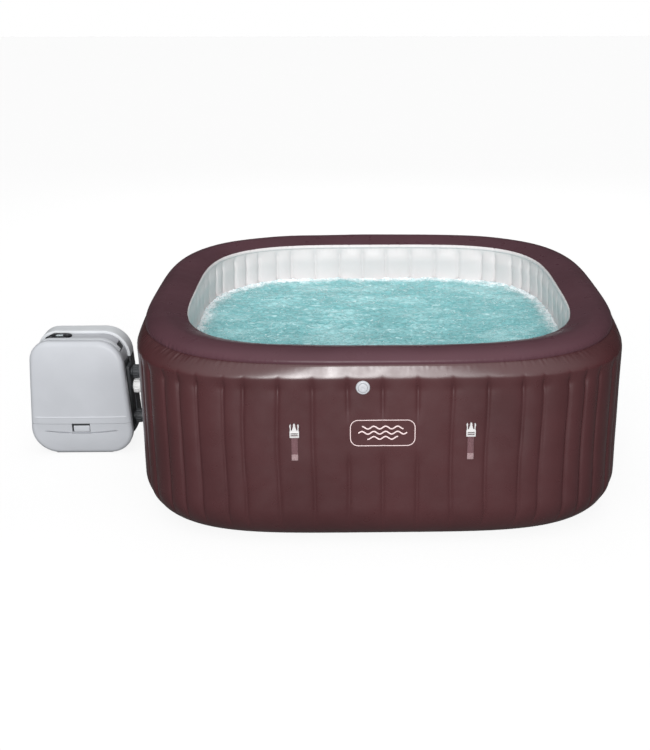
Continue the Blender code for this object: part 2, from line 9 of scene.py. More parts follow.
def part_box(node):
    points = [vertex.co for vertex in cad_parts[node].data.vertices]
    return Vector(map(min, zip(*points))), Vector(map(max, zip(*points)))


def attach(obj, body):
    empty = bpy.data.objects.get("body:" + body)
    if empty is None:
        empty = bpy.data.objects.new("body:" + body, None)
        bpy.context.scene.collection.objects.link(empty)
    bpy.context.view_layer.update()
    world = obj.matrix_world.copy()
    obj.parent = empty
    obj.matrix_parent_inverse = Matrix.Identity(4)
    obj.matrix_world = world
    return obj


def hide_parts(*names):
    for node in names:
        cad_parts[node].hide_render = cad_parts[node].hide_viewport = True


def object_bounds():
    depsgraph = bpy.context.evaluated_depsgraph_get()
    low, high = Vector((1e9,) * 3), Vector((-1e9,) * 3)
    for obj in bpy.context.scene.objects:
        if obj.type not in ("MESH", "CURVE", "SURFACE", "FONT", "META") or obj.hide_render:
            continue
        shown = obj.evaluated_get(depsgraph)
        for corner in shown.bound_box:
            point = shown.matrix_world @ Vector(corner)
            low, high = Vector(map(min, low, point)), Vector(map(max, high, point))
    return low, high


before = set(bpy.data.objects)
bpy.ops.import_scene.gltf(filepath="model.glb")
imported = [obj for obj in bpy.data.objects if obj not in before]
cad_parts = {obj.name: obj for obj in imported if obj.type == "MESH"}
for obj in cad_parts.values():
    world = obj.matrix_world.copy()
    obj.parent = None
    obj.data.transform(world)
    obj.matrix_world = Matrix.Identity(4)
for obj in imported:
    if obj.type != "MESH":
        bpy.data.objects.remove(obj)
cad_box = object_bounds()
ROOT = "tub_and_pump"
scene = bpy.context.scene
scene.view_settings.view_transform = "Standard"

# ---- sizes, from the frame where it holds them ----
OUTER_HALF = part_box("outer_wall")[1].x
TUB_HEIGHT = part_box("top_rim")[1].z
SKIN = 0.003
LINER_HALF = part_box("inner_liner")[1].x - SKIN
SEAM_HALF, SEAM_Z = 0.990, 0.755
OUTER_POWER, SEAM_POWER, LINER_POWER = 4.35, 3.35, 3.70  # how square each outline is
TOP_ROLL, BOTTOM_ROLL = 0.082, 0.168
LINER_TOP = 0.772
WATER_Z = 0.588
FLUTE_PITCH, LINER_PITCH = 0.131, 0.1235
FLUTE_START = 0.0005  # the first weld right of the middle of the front


# ---- camera and light ----
def make_camera():
    turn, tilt, distance = -0.0197, 0.3415, 5.2989
    back = Vector((sin(turn) * cos(tilt), -cos(turn) * cos(tilt), sin(tilt)))
    lens = bpy.data.cameras.new("camera")
    lens.lens = 55.04
    lens.shift_x, lens.shift_y = -0.0700, -0.0131
    lens.clip_end = 100
    made = bpy.data.objects.new("camera", lens)
    made.location = Vector((0, 0, TUB_HEIGHT / 2)) + back * distance
    made.rotation_euler = (pi / 2 - tilt, 0, turn)
    scene.collection.objects.link(made)
    scene.camera = made


def make_softbox(name, place, aim, size, power):
    light = bpy.data.lights.new(name, "AREA")
    light.shape = "RECTANGLE"
    light.size, light.size_y = size
    light.energy = power
    made = bpy.data.objects.new(name, light)
    made.location = place
    made.rotation_euler = (Vector(place) - Vector(aim)).to_track_quat("Z", "Y").to_euler()
    scene.collection.objects.link(made)
    return made


def make_world():
    """White to the camera. As a light, a dome brightest above and in front, and dimmer to the tub's sides."""
    world = bpy.data.worlds.new("studio")
    scene.world = world
    world.use_nodes = True
    nodes, links = world.node_tree.nodes, world.node_tree.links
    shade = nodes["Background"]
    shade.inputs["Color"].default_value = (1.0, 1.0, 1.0, 1.0)
    towards = nodes.new("ShaderNodeVectorMath")
    towards.operation = "DOT_PRODUCT"
    towards.inputs[1].default_value = (0.0, -0.58, 0.81)
    direction = nodes.new("ShaderNodeTexCoord").outputs["Generated"]
    links.new(direction, towards.inputs[0])
    parts = nodes.new("ShaderNodeSeparateXYZ")
    links.new(direction, parts.inputs[0])
    sides = nodes.new("ShaderNodeMath")
    sides.operation = "MULTIPLY"
    links.new(parts.outputs["X"], sides.inputs[0])
    links.new(parts.outputs["X"], sides.inputs[1])
    flags = nodes.new("ShaderNodeMapRange")
    flags.inputs["From Max"].default_value = 0.75
    flags.inputs["To Min"].default_value = 1.0
    flags.inputs["To Max"].default_value = 0.15
    links.new(sides.outputs["Value"], flags.inputs["Value"])
    sky = nodes.new("ShaderNodeMapRange")
    sky.interpolation_type = "SMOOTHSTEP"
    sky.inputs["From Min"].default_value = 0.10
    sky.inputs["To Min"].default_value = 0.06
    sky.inputs["To Max"].default_value = 1.84
    links.new(towards.outputs["Value"], sky.inputs["Value"])
    choice = nodes.new("ShaderNodeMix")
    choice.inputs["B"].default_value = 1.0
    links.new(nodes.new("ShaderNodeLightPath").outputs["Is Camera Ray"], choice.inputs["Factor"])
    dome = nodes.new("ShaderNodeMath")
    dome.operation = "MULTIPLY"
    links.new(sky.outputs["Result"], dome.inputs[0])
    links.new(flags.outputs["Result"], dome.inputs[1])
    links.new(dome.outputs["Value"], choice.inputs["A"])
    links.new(choice.outputs["Result"], shade.inputs["Strength"])


def make_studio():
    make_world()
    make_softbox("front", (-0.52, -6.0, 2.05), (-0.2, -1.0, 0.6), (1.35, 1.2), 238)
    make_softbox("front_right", (1.05, -6.0, 2.05), (0.3, -1.0, 0.6), (1.2, 1.2), 26)
    rear = make_softbox("rear", (0.3, 5.5, 3.6), (0.0, 0.0, 0.4), (5.0, 3.0), 150)
    rear.visible_glossy = False
    bm = bmesh.new()
    bmesh.ops.create_grid(bm, x_segments=1, y_segments=1, size=30)
    mesh = bpy.data.meshes.new("floor")
    bm.to_mesh(mesh)
    bm.free()
    floor = bpy.data.objects.new("floor", mesh)
    floor.location.z = cad_box[0].z - 0.0005
    scene.collection.objects.link(floor)
    paint = Paint("floor_white", (0.90, 0.90, 0.90), 0.9, specular=0.1)
    paint.mottle(0.7, 0.02)
    paint.set("Alpha", 0.12)
    mesh.materials.append(paint.material)


# ---- materials ----
class Paint:
    """A Principled material built up in steps: mottled colour, grain bump and uneven gloss."""

    def __init__(self, name, colour, roughness, metallic=0.0, specular=0.5):
        self.material = bpy.data.materials.new(name)
        self.material.use_nodes = True
        self.nodes, self.links = self.material.node_tree.nodes, self.material.node_tree.links
        self.shader = self.nodes["Principled BSDF"]
        self.colour = colour
        self.set("Base Color", (*colour, 1.0))
        self.set("Roughness", roughness)
        self.set("Metallic", metallic)
        self.set("Specular IOR Level", specular)
        self.place = self.nodes.new("ShaderNodeTexCoord").outputs["Object"]
        self.normal = None

    def set(self, socket, value):
        self.shader.inputs[socket].default_value = value

    def noise(self, scale, detail=3.0, stretch=None, rough=0.5):
        texture = self.nodes.new("ShaderNodeTexNoise")
        texture.inputs["Scale"].default_value = scale
        texture.inputs["Detail"].default_value = detail
        texture.inputs["Roughness"].default_value = rough
        self.links.new(self.stretched(stretch), texture.inputs["Vector"])
        return texture.outputs["Fac"]

    def cells(self, scale):
        texture = self.nodes.new("ShaderNodeTexVoronoi")
        texture.inputs["Scale"].default_value = scale
        self.links.new(self.place, texture.inputs["Vector"])
        return texture.outputs["Distance"]

    def wave(self, scale, axis):
        texture = self.nodes.new("ShaderNodeTexWave")
        texture.bands_direction = axis
        texture.inputs["Scale"].default_value = scale
        self.links.new(self.place, texture.inputs["Vector"])
        return texture.outputs["Fac"]

    def part(self, axis):
        """The place's X, Y or Z."""
        split = self.nodes.new("ShaderNodeSeparateXYZ")
        self.links.new(self.place, split.inputs["Vector"])
        return split.outputs[axis]

    def away_from(self, middle, low, high):
        """1 further than a distance from a plane across X."""
        offset = self.maths("SUBTRACT", self.part("X"), middle)
        return self.mask(self.maths("ABSOLUTE", offset), low, high)

    def maths(self, operation, first, second=None):
        node = self.nodes.new("ShaderNodeMath")
        node.operation = operation
        for socket, value in zip(node.inputs, (first, second)):
            if isinstance(value, (int, float)):
                socket.default_value = value
            elif value is not None:
                self.links.new(value, socket)
        return node.outputs["Value"]

    def times(self, first, second):
        return self.maths("MULTIPLY", first, second)

    def stretched(self, stretch):
        if stretch is None:
            return self.place
        mapping = self.nodes.new("ShaderNodeMapping")
        mapping.inputs["Scale"].default_value = stretch
        self.links.new(self.place, mapping.inputs["Vector"])
        return mapping.outputs["Vector"]

    def mask(self, source, low, high, to_low=0.0, to_high=1.0):
        ramp = self.nodes.new("ShaderNodeMapRange")
        ramp.interpolation_type = "SMOOTHSTEP"
        if low > high:
            low, high, to_low, to_high = high, low, to_high, to_low
        for socket, value in (("From Min", low), ("From Max", high), ("To Min", to_low), ("To Max", to_high)):
            ramp.inputs[socket].default_value = value
        self.links.new(source, ramp.inputs["Value"])
        return ramp.outputs["Result"]

    def mix_colour(self, factor, colour):
        """Blends the colour so far towards another one, by a factor texture."""
        mix = self.nodes.new("ShaderNodeMix")
        mix.data_type = "RGBA"
        self.links.new(factor, mix.inputs["Factor"])
        before = self.shader.inputs["Base Color"].links
        if before:
            self.links.new(before[0].from_socket, mix.inputs["A"])
        else:
            mix.inputs["A"].default_value = (*self.colour, 1.0)
        mix.inputs["B"].default_value = (*colour, 1.0)
        self.links.new(mix.outputs["Result"], self.shader.inputs["Base Color"])
        return self

    def mottle(self, scale, amount, detail=3.0):
        """Uneven colour: darker and lighter patches around the base colour."""
        factor = self.mask(self.noise(scale, detail), 0.3, 0.7)
        return self.mix_colour(factor, tuple(min(1.0, part * (1 + amount)) for part in self.colour))

    def gloss(self, scale, low, high):
        """Uneven roughness, between two values."""
        self.links.new(self.mask(self.noise(scale), 0.3, 0.7, low, high), self.shader.inputs["Roughness"])
        return self

    def bump(self, source, height, strength=1.0):
        bump = self.nodes.new("ShaderNodeBump")
        bump.inputs["Distance"].default_value = height
        bump.inputs["Strength"].default_value = strength
        self.links.new(source, bump.inputs["Height"])
        if self.normal:
            self.links.new(self.normal, bump.inputs["Normal"])
        self.normal = bump.outputs["Normal"]
        self.links.new(self.normal, self.shader.inputs["Normal"])
        return self


def make_pvc(name, colour, patch, index=1.5):
    """Laminated PVC film: fine printed leather grain, soft patches, and handling marks in the gloss."""
    pvc = Paint(name, colour, 0.30, specular=0.5)
    pvc.set("IOR", index)
    pvc.mottle(2.3, 0.22, 4.0)
    pvc.mix_colour(pvc.mask(pvc.noise(9.0, 5.0), 0.45, 0.8, 0.0, 0.5), patch)
    pvc.gloss(14.0, 0.27, 0.35)
    pvc.bump(pvc.cells(330.0), 0.0001, 0.2)
    pvc.bump(pvc.noise(60.0, 5.0), 0.0005, 0.22)
    return pvc.material


def plastic(name, colour, roughness=0.42, specular=0.4, grain=0.00012, patch=-0.06):
    """Moulded plastic: fine spark grain, faint flow marks and uneven gloss."""
    paint = Paint(name, colour, roughness, specular=specular)
    paint.mottle(5.0, patch, 4.0)
    paint.gloss(30.0, roughness - 0.05, roughness + 0.06)
    paint.bump(paint.noise(1400.0, 2.0), grain, 0.35)
    return paint


def make_webbing(name, colour, light):
    """Woven strap: ribs across, with a twill of lighter threads."""
    cloth = Paint(name, colour, 0.8, specular=0.2)
    cloth.mix_colour(cloth.mask(cloth.wave(260.0, "DIAGONAL"), 0.4, 0.9, 0.0, 0.6), light)
    cloth.mix_colour(cloth.mask(cloth.noise(900.0, 2.0, (1, 1, 0.3)), 0.45, 0.7, 0.0, 0.4), light)
    cloth.bump(cloth.wave(420.0, "Z"), 0.0004, 0.7)
    cloth.bump(cloth.wave(420.0, "X"), 0.0003, 0.5)
    return cloth.material


def make_materials():
    plum = make_pvc("plum_pvc", (0.0500, 0.0165, 0.0182), (0.0585, 0.0203, 0.0230))
    rim = make_pvc("plum_rim_pvc", (0.0650, 0.0295, 0.0372), (0.0735, 0.0350, 0.0450), 1.2)
    white = Paint("white_pvc", (0.68, 0.64, 0.64), 0.40, specular=0.35)
    white.mottle(3.0, -0.05).gloss(20.0, 0.32, 0.48).bump(white.noise(60.0, 4.0), 0.0005, 0.3)
    band = plastic("band_grey", (0.42, 0.43, 0.46), 0.46)
    shell = plastic("shell_grey", (0.455, 0.47, 0.50))
    rear = plastic("rear_grey", (0.58, 0.60, 0.62))
    # Painted shade: the lower sides of the rear casing, below z 0.42, are painted near-black for the shade that falls
    # there beside the tub.
    shaded_sides = rear.times(rear.mask(rear.part("Z"), 0.424, 0.420), rear.away_from(POD_X, 0.196, 0.199))
    rear.mix_colour(shaded_sides, (0.035, 0.037, 0.041))
    rail = plastic("rail_grey", (0.56, 0.58, 0.61))
    steel = Paint("brushed_steel", (0.55, 0.56, 0.57), 0.32, 1.0)
    steel.mottle(8.0, -0.15).bump(steel.noise(600.0, 3.0, (0.05, 1, 1)), 0.0001, 0.5)
    board = Paint("circuit_green", (0.03, 0.16, 0.07), 0.5)
    board.mix_colour(board.mask(board.cells(180.0), 0.1, 0.2, 0.6, 0.0), (0.10, 0.30, 0.12))
    filter_cloth = Paint("filter_paper", (0.76, 0.78, 0.80), 0.9)
    filter_cloth.mottle(40.0, -0.12).bump(filter_cloth.noise(500.0, 4.0), 0.0006, 0.6)
    gloss = plastic("gloss_black", (0.008, 0.008, 0.010), 0.30, 0.22, 0.00002, 0.5)
    display = Paint("display_pale", (0.46, 0.52, 0.55), 0.2)
    display.mottle(60.0, 0.15).gloss(40.0, 0.14, 0.26)
    digits = Paint("printed_symbols", (0.62, 0.66, 0.68), 0.5)
    digits.mottle(200.0, -0.1)
    badge_print = Paint("badge_print", (0.72, 0.58, 0.58), 0.55)
    badge_print.mottle(60.0, -0.14).bump(badge_print.noise(300.0, 3.0), 0.0002, 0.4)
    return {"plum": plum, "rim": rim, "white": white.material, "band": band.material, "shell": shell.material,
            "rear": rear.material, "rail": rail.material, "steel": steel.material, "board": board.material,
            "filter": filter_cloth.material, "gloss_black": gloss.material, "display": display.material,
            "digits": digits.material, "print": badge_print.material,
            "dark": plastic("dark_plastic", (0.028, 0.030, 0.033), 0.5, 0.4, 0.0002, 0.4).material,
            "white_plastic": plastic("white_plastic", (0.84, 0.84, 0.84)).material,
            "valve": plastic("valve_grey", (0.42, 0.43, 0.455)).material,
            "buckle": plastic("buckle_white", (0.53, 0.52, 0.52)).material,
            "pale": plastic("pale_plastic", (0.52, 0.54, 0.56)).material,
            "webbing": make_webbing("webbing", (0.135, 0.066, 0.075), (0.22, 0.125, 0.135)),
            "webbing_tip": make_webbing("webbing_tip", (0.29, 0.19, 0.20), (0.45, 0.33, 0.34))}


# ---- meshes ----
def smooth_mesh(name, points, faces, sharp=None):
    mesh = bpy.data.meshes.new(name)
    mesh.from_pydata([tuple(p) for p in points], [], faces)
    mesh.update()
    mesh.shade_smooth()
    if sharp is not None:
        mesh.set_sharp_from_angle(angle=radians(sharp))
    return mesh


def add_piece(name, mesh, material, body=ROOT, replaces=()):
    piece = bpy.data.objects.new(name, mesh)
    scene.collection.objects.link(piece)
    if material is not None:
        mesh.materials.append(material)
    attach(piece, body)
    if replaces:
        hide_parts(*replaces)
    return piece


def grid_faces(rows, columns, closed=True, first=0):
    """Quads between rows of a grid whose columns run round once."""
    across = columns if closed else columns - 1
    i, j = np.meshgrid(np.arange(rows - 1), np.arange(across), indexing="ij")
    low, right = i * columns + j, i * columns + (j + 1) % columns
    quads = np.stack([low, right, right + columns, low + columns], axis=-1).reshape(-1, 4) + first
    return quads.tolist()


def smoothstep(low, high, value):
    t = np.clip((value - low) / (high - low), 0, 1)
    return t * t * (3 - 2 * t)


class Ripple:
    """Repeatable smooth noise, made of plane waves with seeded directions and phases."""

    def __init__(self, seed, wavelengths, count=24):
        rng = np.random.default_rng(seed)
        self.length = rng.uniform(*wavelengths, count)
        self.turn = rng.uniform(0, 2 * pi, count)
        self.phase = rng.uniform(0, 2 * pi, count)

    def __call__(self, x, y):
        total = np.zeros(np.broadcast(x, y).shape)
        for length, turn, phase in zip(self.length, self.turn, self.phase):
            total += np.sin(2 * pi * (x * cos(turn) + y * sin(turn)) / length + phase)
        return total / sqrt(len(self.length) / 2)


class Outline:
    """Superellipse sampled evenly by arc length, from the middle of the front towards +X."""

    def __init__(self, half, power, columns):
        fine = np.linspace(-pi / 2, 1.5 * pi, 40001)
        x, y = self.at(fine, half, power)
        run = np.concatenate([[0], np.cumsum(np.hypot(np.diff(x), np.diff(y)))])
        self.length = run[-1]
        self.along = np.arange(columns) * self.length / columns
        self.angles = np.interp(self.along, run, fine)
        ahead = self.at(self.angles + 1e-4, half, power)
        behind = self.at(self.angles - 1e-4, half, power)
        across, up = ahead[0] - behind[0], ahead[1] - behind[1]
        size = np.hypot(across, up)
        self.normal = np.array([up / size, -across / size])
        self.corner = np.abs(np.sin(2 * self.angles)) ** 3

    @staticmethod
    def at(angles, half, power):
        c, s = np.cos(angles), np.sin(angles)
        reach = half / (np.abs(c) ** power + np.abs(s) ** power) ** (1 / power)
        return reach * c, reach * s

    def skin(self, section, push):
        """Points of a skin. Each row of the section is (half side, z, power, tilt, distance from the
        seam), and push gives how far each row moves out along its surface normal."""
        rows = []
        for half, z, power, tilt, from_seam in section:
            x, y = self.at(self.angles, half, power)
            out = push(self, z, from_seam)
            rows.append(np.stack([x + self.normal[0] * cos(tilt) * out, y + self.normal[1] * cos(tilt) * out,
                                  z + sin(tilt) * out], axis=-1))
        return np.concatenate(rows)


def weld_places(outline, start, pitch):
    """Where welds cross an outline. Round the corners every other weld is a pair."""
    tight = 0.7
    places = []
    for number in range(round(outline.length / pitch)):
        place = start + number * pitch
        corner = np.interp(place, outline.along, outline.corner)
        places += [place - 0.40 * pitch, place + 0.42 * pitch] if corner > tight and number % 2 else [place]
    return np.array([places[-1] - outline.length, *places, places[0] + outline.length])


def wrapped(along, length):
    """Distance round from the middle of the front, and the shorter way back to it."""
    return along % length, np.minimum(along % length, -along % length)


def crease(along, places, narrow):
    """0 in the middle of a flute and 1 on its weld, part round and part sharp."""
    after = np.clip(np.searchsorted(places, along, side="right"), 1, len(places) - 1)
    share = (along - places[after - 1]) / (places[after] - places[after - 1])
    from_middle = np.clip(np.abs(2 * share - 1), 0, 1)
    return 0.42 * from_middle ** 2 + 0.58 * from_middle ** narrow


# ---- tub skins ----
WALL_COLUMNS = 1344
WALL = Outline(OUTER_HALF, OUTER_POWER, WALL_COLUMNS)
WALL_PITCH = WALL.length / round(WALL.length / FLUTE_PITCH)
WALL_WELDS = weld_places(WALL, FLUTE_START, WALL_PITCH)
SEAM_WAVES = Ripple(3, (0.012, 0.034), 10)
SOFT_WAVES = Ripple(5, (0.25, 0.7), 14)
WANDER = Ripple(8, (0.3, 0.9), 8)


def seam_pucker(outline, from_seam):
    """Small gathers across the weld between wall and rim, deepest at the corners."""
    depth = 0.00010 + 0.0013 * outline.corner
    patchy = 0.55 + 0.45 * WANDER(outline.along * 1.7, 0.3)
    gathers = SEAM_WAVES(outline.along, from_seam * 0.25) * depth * patchy
    groove = -0.0026 * np.exp(-(from_seam / 0.0028) ** 2)
    return groove + gathers * np.exp(-(from_seam / 0.017) ** 2)


def wall_push(outline, z, from_seam):
    along, from_front = wrapped(outline.along, WALL.length)
    calm = smoothstep(0.0, 0.25, from_front)
    weld = crease(along + 0.003 * WANDER(along, z) * calm, WALL_WELDS, 14)
    upright = smoothstep(0.722, 0.655, z) * smoothstep(0.045, 0.16, z)
    printed = smoothstep(0.19, 0.15, from_front) * smoothstep(0.36, 0.38, z) * smoothstep(0.57, 0.55, z)
    upright = upright * (1 - 0.85 * printed)
    pinch = 1 + 0.35 * np.exp(-((z - 0.660) / 0.022) ** 2)
    depth = (0.0105 + 0.0060 * outline.corner) * upright * pinch
    bulge = 0.0010 * np.exp(-((z - 0.700) / 0.030) ** 2)
    soft = 0.0007 * SOFT_WAVES(along, z) * upright * calm
    return bulge - depth * weld + soft + seam_pucker(outline, from_seam)


def make_wall(material):
    low = OUTER_HALF - BOTTOM_ROLL
    section = []
    for t in np.linspace(pi / 2, 0, 20):
        section.append((low + BOTTOM_ROLL * cos(t), BOTTOM_ROLL * (1 - sin(t)), OUTER_POWER, -t, -1))
    for z in np.concatenate([np.linspace(0.19, 0.62, 16), np.linspace(0.64, 0.70, 12)]):
        section.append((OUTER_HALF, z, OUTER_POWER, 0, z - SEAM_Z))
    for t in np.linspace(0, 1, 20)[1:]:
        z = 0.70 + (SEAM_Z - 0.70) * t
        drawn_in = (sqrt(t ** 2 + 0.02) - 0.1414) / 0.8685
        section.append((OUTER_HALF - (OUTER_HALF - SEAM_HALF) * drawn_in, z,
                        OUTER_POWER + (SEAM_POWER - OUTER_POWER) * drawn_in ** 1.4, 0.3 * t, z - SEAM_Z))
    mesh = smooth_mesh("wall_skin", WALL.skin(section, wall_push), grid_faces(len(section), WALL_COLUMNS))
    add_piece("wall_skin", mesh, material, replaces=("outer_wall",))


def rim_push(outline, z, from_seam):
    along, from_front = wrapped(outline.along, WALL.length)
    soft = 0.0006 * SOFT_WAVES(along, from_seam * 2) * smoothstep(0.01, 0.08, from_seam)
    soft = soft * smoothstep(0, 0.25, from_front)
    edge = smoothstep(0.150, 0.185, from_seam)
    inner = 0.0004 * edge * SEAM_WAVES(outline.along * 0.8, 0.2) * (0.4 + 0.6 * outline.corner)
    return soft * (1 - edge) + inner + seam_pucker(outline, from_seam)


def make_rim(material):
    """From the weld over the roll, flat along the top, and down a shallow slope to the liner."""
    crest = OUTER_HALF - TOP_ROLL
    section = []
    for t in np.linspace(0, 1, 22):
        angle = pi / 2 * t
        section.append((crest + (SEAM_HALF - crest) * cos(angle) ** 1.15,
                        SEAM_Z + (TUB_HEIGHT - SEAM_Z) * sin(angle) ** 0.92,
                        SEAM_POWER, radians(42) + radians(48) * t, TOP_ROLL * t))
    for t in np.linspace(0, 1, 22)[1:]:
        half = crest + (LINER_HALF - crest) * t
        fall = max(0.0, (t - 0.08) / 0.92) ** 1.35
        section.append((half, TUB_HEIGHT - (TUB_HEIGHT - LINER_TOP) * fall,
                        SEAM_POWER + (LINER_POWER - SEAM_POWER) * t, pi / 2 + 0.25 * t, TOP_ROLL + crest - half))
    section.append((LINER_HALF + 0.001, LINER_TOP - 0.006, LINER_POWER, pi / 2, 0.20))
    mesh = smooth_mesh("rim_skin", WALL.skin(section, rim_push), grid_faces(len(section), WALL_COLUMNS))
    add_piece("rim_skin", mesh, material, replaces=("top_rim",))


def make_web(material):
    """The zigzag strips that tie wall and liner together, drawn in at both ends to stay behind the welds."""
    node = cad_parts["tension_web"]
    mesh = node.data.copy()
    mesh.transform(node.matrix_world)
    places = np.array([vert.co for vert in mesh.vertices])
    reach = (np.abs(places[:, 0]) ** 4 + np.abs(places[:, 1]) ** 4) ** 0.25
    middle = (reach.min() + reach.max()) / 2
    places[:, :2] *= ((middle + (reach - middle) * 0.76) / reach)[:, None]
    mesh.vertices.foreach_set("co", places.ravel())
    mesh.materials.clear()
    add_piece("web_strips", mesh, material, replaces=("tension_web",))


LINER = Outline(LINER_HALF, LINER_POWER, 1152)
LINER_STEP = LINER.length / round(LINER.length / LINER_PITCH)
LINER_WELDS = weld_places(LINER, LINER_STEP / 2, LINER_STEP)


def liner_push(outline, z, from_top):
    """The welds pull outwards between the flutes, and small gathers hang from the top weld."""
    along, from_front = wrapped(outline.along, LINER.length)
    calm = smoothstep(0.0, 0.25, from_front)
    weld = crease(along + 0.002 * WANDER(along * 1.3, z) * calm, LINER_WELDS, 10)
    upright = smoothstep(LINER_TOP - 0.010, LINER_TOP - 0.060, z) * smoothstep(0.006, 0.05, z)
    depth = (0.012 + 0.005 * outline.corner) * upright
    lean = 0.006 * np.exp(-((z - LINER_TOP + 0.075) / 0.04) ** 2)
    gathers = 0.0006 * SEAM_WAVES(outline.along, 2.0) * np.exp(-(from_top / 0.03) ** 2)
    return depth * weld - lean + gathers + 0.0010 * SOFT_WAVES(along, z) * upright * calm


def make_liner(material):
    """The top of the liner is a narrow lip welded to the edge of the rim."""
    section = [(LINER_HALF, z, LINER_POWER, 0, LINER_TOP - z)
               for z in np.concatenate([np.linspace(0.0072, 0.10, 8), np.linspace(0.14, 0.66, 14),
                                        np.linspace(0.675, LINER_TOP - 0.016, 18)])]
    for t in np.linspace(0, 1, 8)[1:]:
        section.append((LINER_HALF - 0.004 * sin(pi * t) ** 0.8, LINER_TOP - 0.016 * cos(pi / 2 * t) + 0.0005 * t,
                        LINER_POWER, 0, 0.0))
    faces = [face[::-1] for face in grid_faces(len(section), len(LINER.along))]
    mesh = smooth_mesh("liner_skin", LINER.skin(section, liner_push), faces)
    add_piece("liner_skin", mesh, material, replaces=("inner_liner",))


# ---- water ----
# From wide patches to fine flecks; the last, near-white layer is painted sparkle, small highlights painted into the
# colour. Each is the noise (scale, detail, stretch, roughness), the mask (low, high, value at low, value at high) and
# the colour.
WATER_LAYERS = [
    ((3.2, 4.0, (1, 1.6, 1), 0.6), (0.44, 0.62, 0.0, 0.85), (0.33, 0.61, 0.63)),
    ((11.0, 6.0, (0.6, 2.6, 1), 0.7), (0.36, 0.47, 0.70, 0.0), (0.12, 0.38, 0.40)),
    ((17.0, 7.0, (0.5, 2.6, 1), 0.75), (0.52, 0.66, 0.0, 0.80), (0.50, 0.74, 0.76)),
    ((48.0, 5.0, (0.6, 2.4, 1), 0.75), (0.36, 0.44, 0.45, 0.0), (0.10, 0.34, 0.37)),
    ((90.0, 4.0, (0.7, 2.0, 1), 0.7), (0.60, 0.68, 0.0, 0.90), (0.86, 0.94, 0.96))]


def make_water_material():
    water = Paint("spa_water", (0.20, 0.47, 0.49), 0.12, specular=0.5)
    for noise, mask, colour in WATER_LAYERS:
        water.mix_colour(water.mask(water.noise(*noise), *mask), colour)
    sides = [water.maths("ABSOLUTE", water.maths("DIVIDE", water.part(axis), LINER_HALF)) for axis in ("X", "Y")]
    reach = water.maths("ADD", *(water.maths("POWER", side, LINER_POWER) for side in sides))
    ragged = water.maths("ADD", reach, water.times(water.noise(14.0, 6.0, None, 0.7), 0.55))
    back = water.mask(water.part("Y"), -0.45, 0.10)
    foam = water.times(water.mask(ragged, 1.00, 1.32), back)
    lace = water.mask(water.noise(75.0, 5.0, None, 0.75), 0.40, 0.58)
    water.mix_colour(water.times(foam, water.maths("MULTIPLY_ADD", lace, 0.7)), (0.90, 0.95, 0.97))
    water.links.new(water.mask(water.noise(22.0, 4.0), 0.4, 0.7, 0.10, 0.34), water.shader.inputs["Roughness"])
    water.bump(water.noise(55.0, 6.0, (0.8, 2.2, 1), 0.65), 0.006, 0.7)
    water.bump(water.cells(150.0), 0.0015, 0.4)
    return water.material


WAVES = [Ripple(21, (0.20, 0.42), 18), Ripple(22, (0.06, 0.13), 26), Ripple(23, (0.022, 0.045), 30)]


def water_height(x, y):
    """Churned water: round swells, sharp chop and fine ripples, with rings in the near left corner."""
    big, middle, small = (wave(x, y * stretch) for wave, stretch in zip(WAVES, (1.2, 1.7, 1.7)))
    away = np.hypot(x + 0.60, y + 0.50)
    rings = 0.0016 * np.sin(2 * pi * away / 0.030) * np.exp(-(away / 0.15) ** 2)
    chop = 0.0034 * (0.6 - np.abs(middle))
    return 0.0022 * big + chop + 0.0012 * small * (1 + np.tanh(middle)) + rings


def make_water():
    shape = Outline(LINER_HALF, LINER_POWER, 700)
    count, rings = 700, 210
    share = np.linspace(0.012, 1.0, rings) ** 0.8
    points = []
    for k in share:
        x, y = Outline.at(shape.angles, (LINER_HALF + 0.004) * k, LINER_POWER + (2 - LINER_POWER) * (1 - k))
        z = WATER_Z + water_height(x, y) + 0.004 * smoothstep(0.96, 1.0, k)
        points.append(np.stack([x, y, z], axis=-1))
    faces = grid_faces(rings, count)
    faces.append(list(range(count))[::-1])
    mesh = smooth_mesh("water_surface", np.concatenate(points), faces)
    add_piece("water_surface", mesh, make_water_material())


def beads(name, places, radii, squash=0.75):
    """Many small round blobs in one mesh."""
    bm = bmesh.new()
    bmesh.ops.create_icosphere(bm, subdivisions=1, radius=1.0)
    ball = np.array([vert.co for vert in bm.verts])
    rows = np.array([[vert.index for vert in face.verts] for face in bm.faces])
    bm.free()
    points = np.concatenate([place + ball * radius * (1, 1, squash) for place, radius in zip(places, radii)])
    faces = np.concatenate([rows + i * len(ball) for i in range(len(places))])
    return smooth_mesh(name, points, faces.tolist())


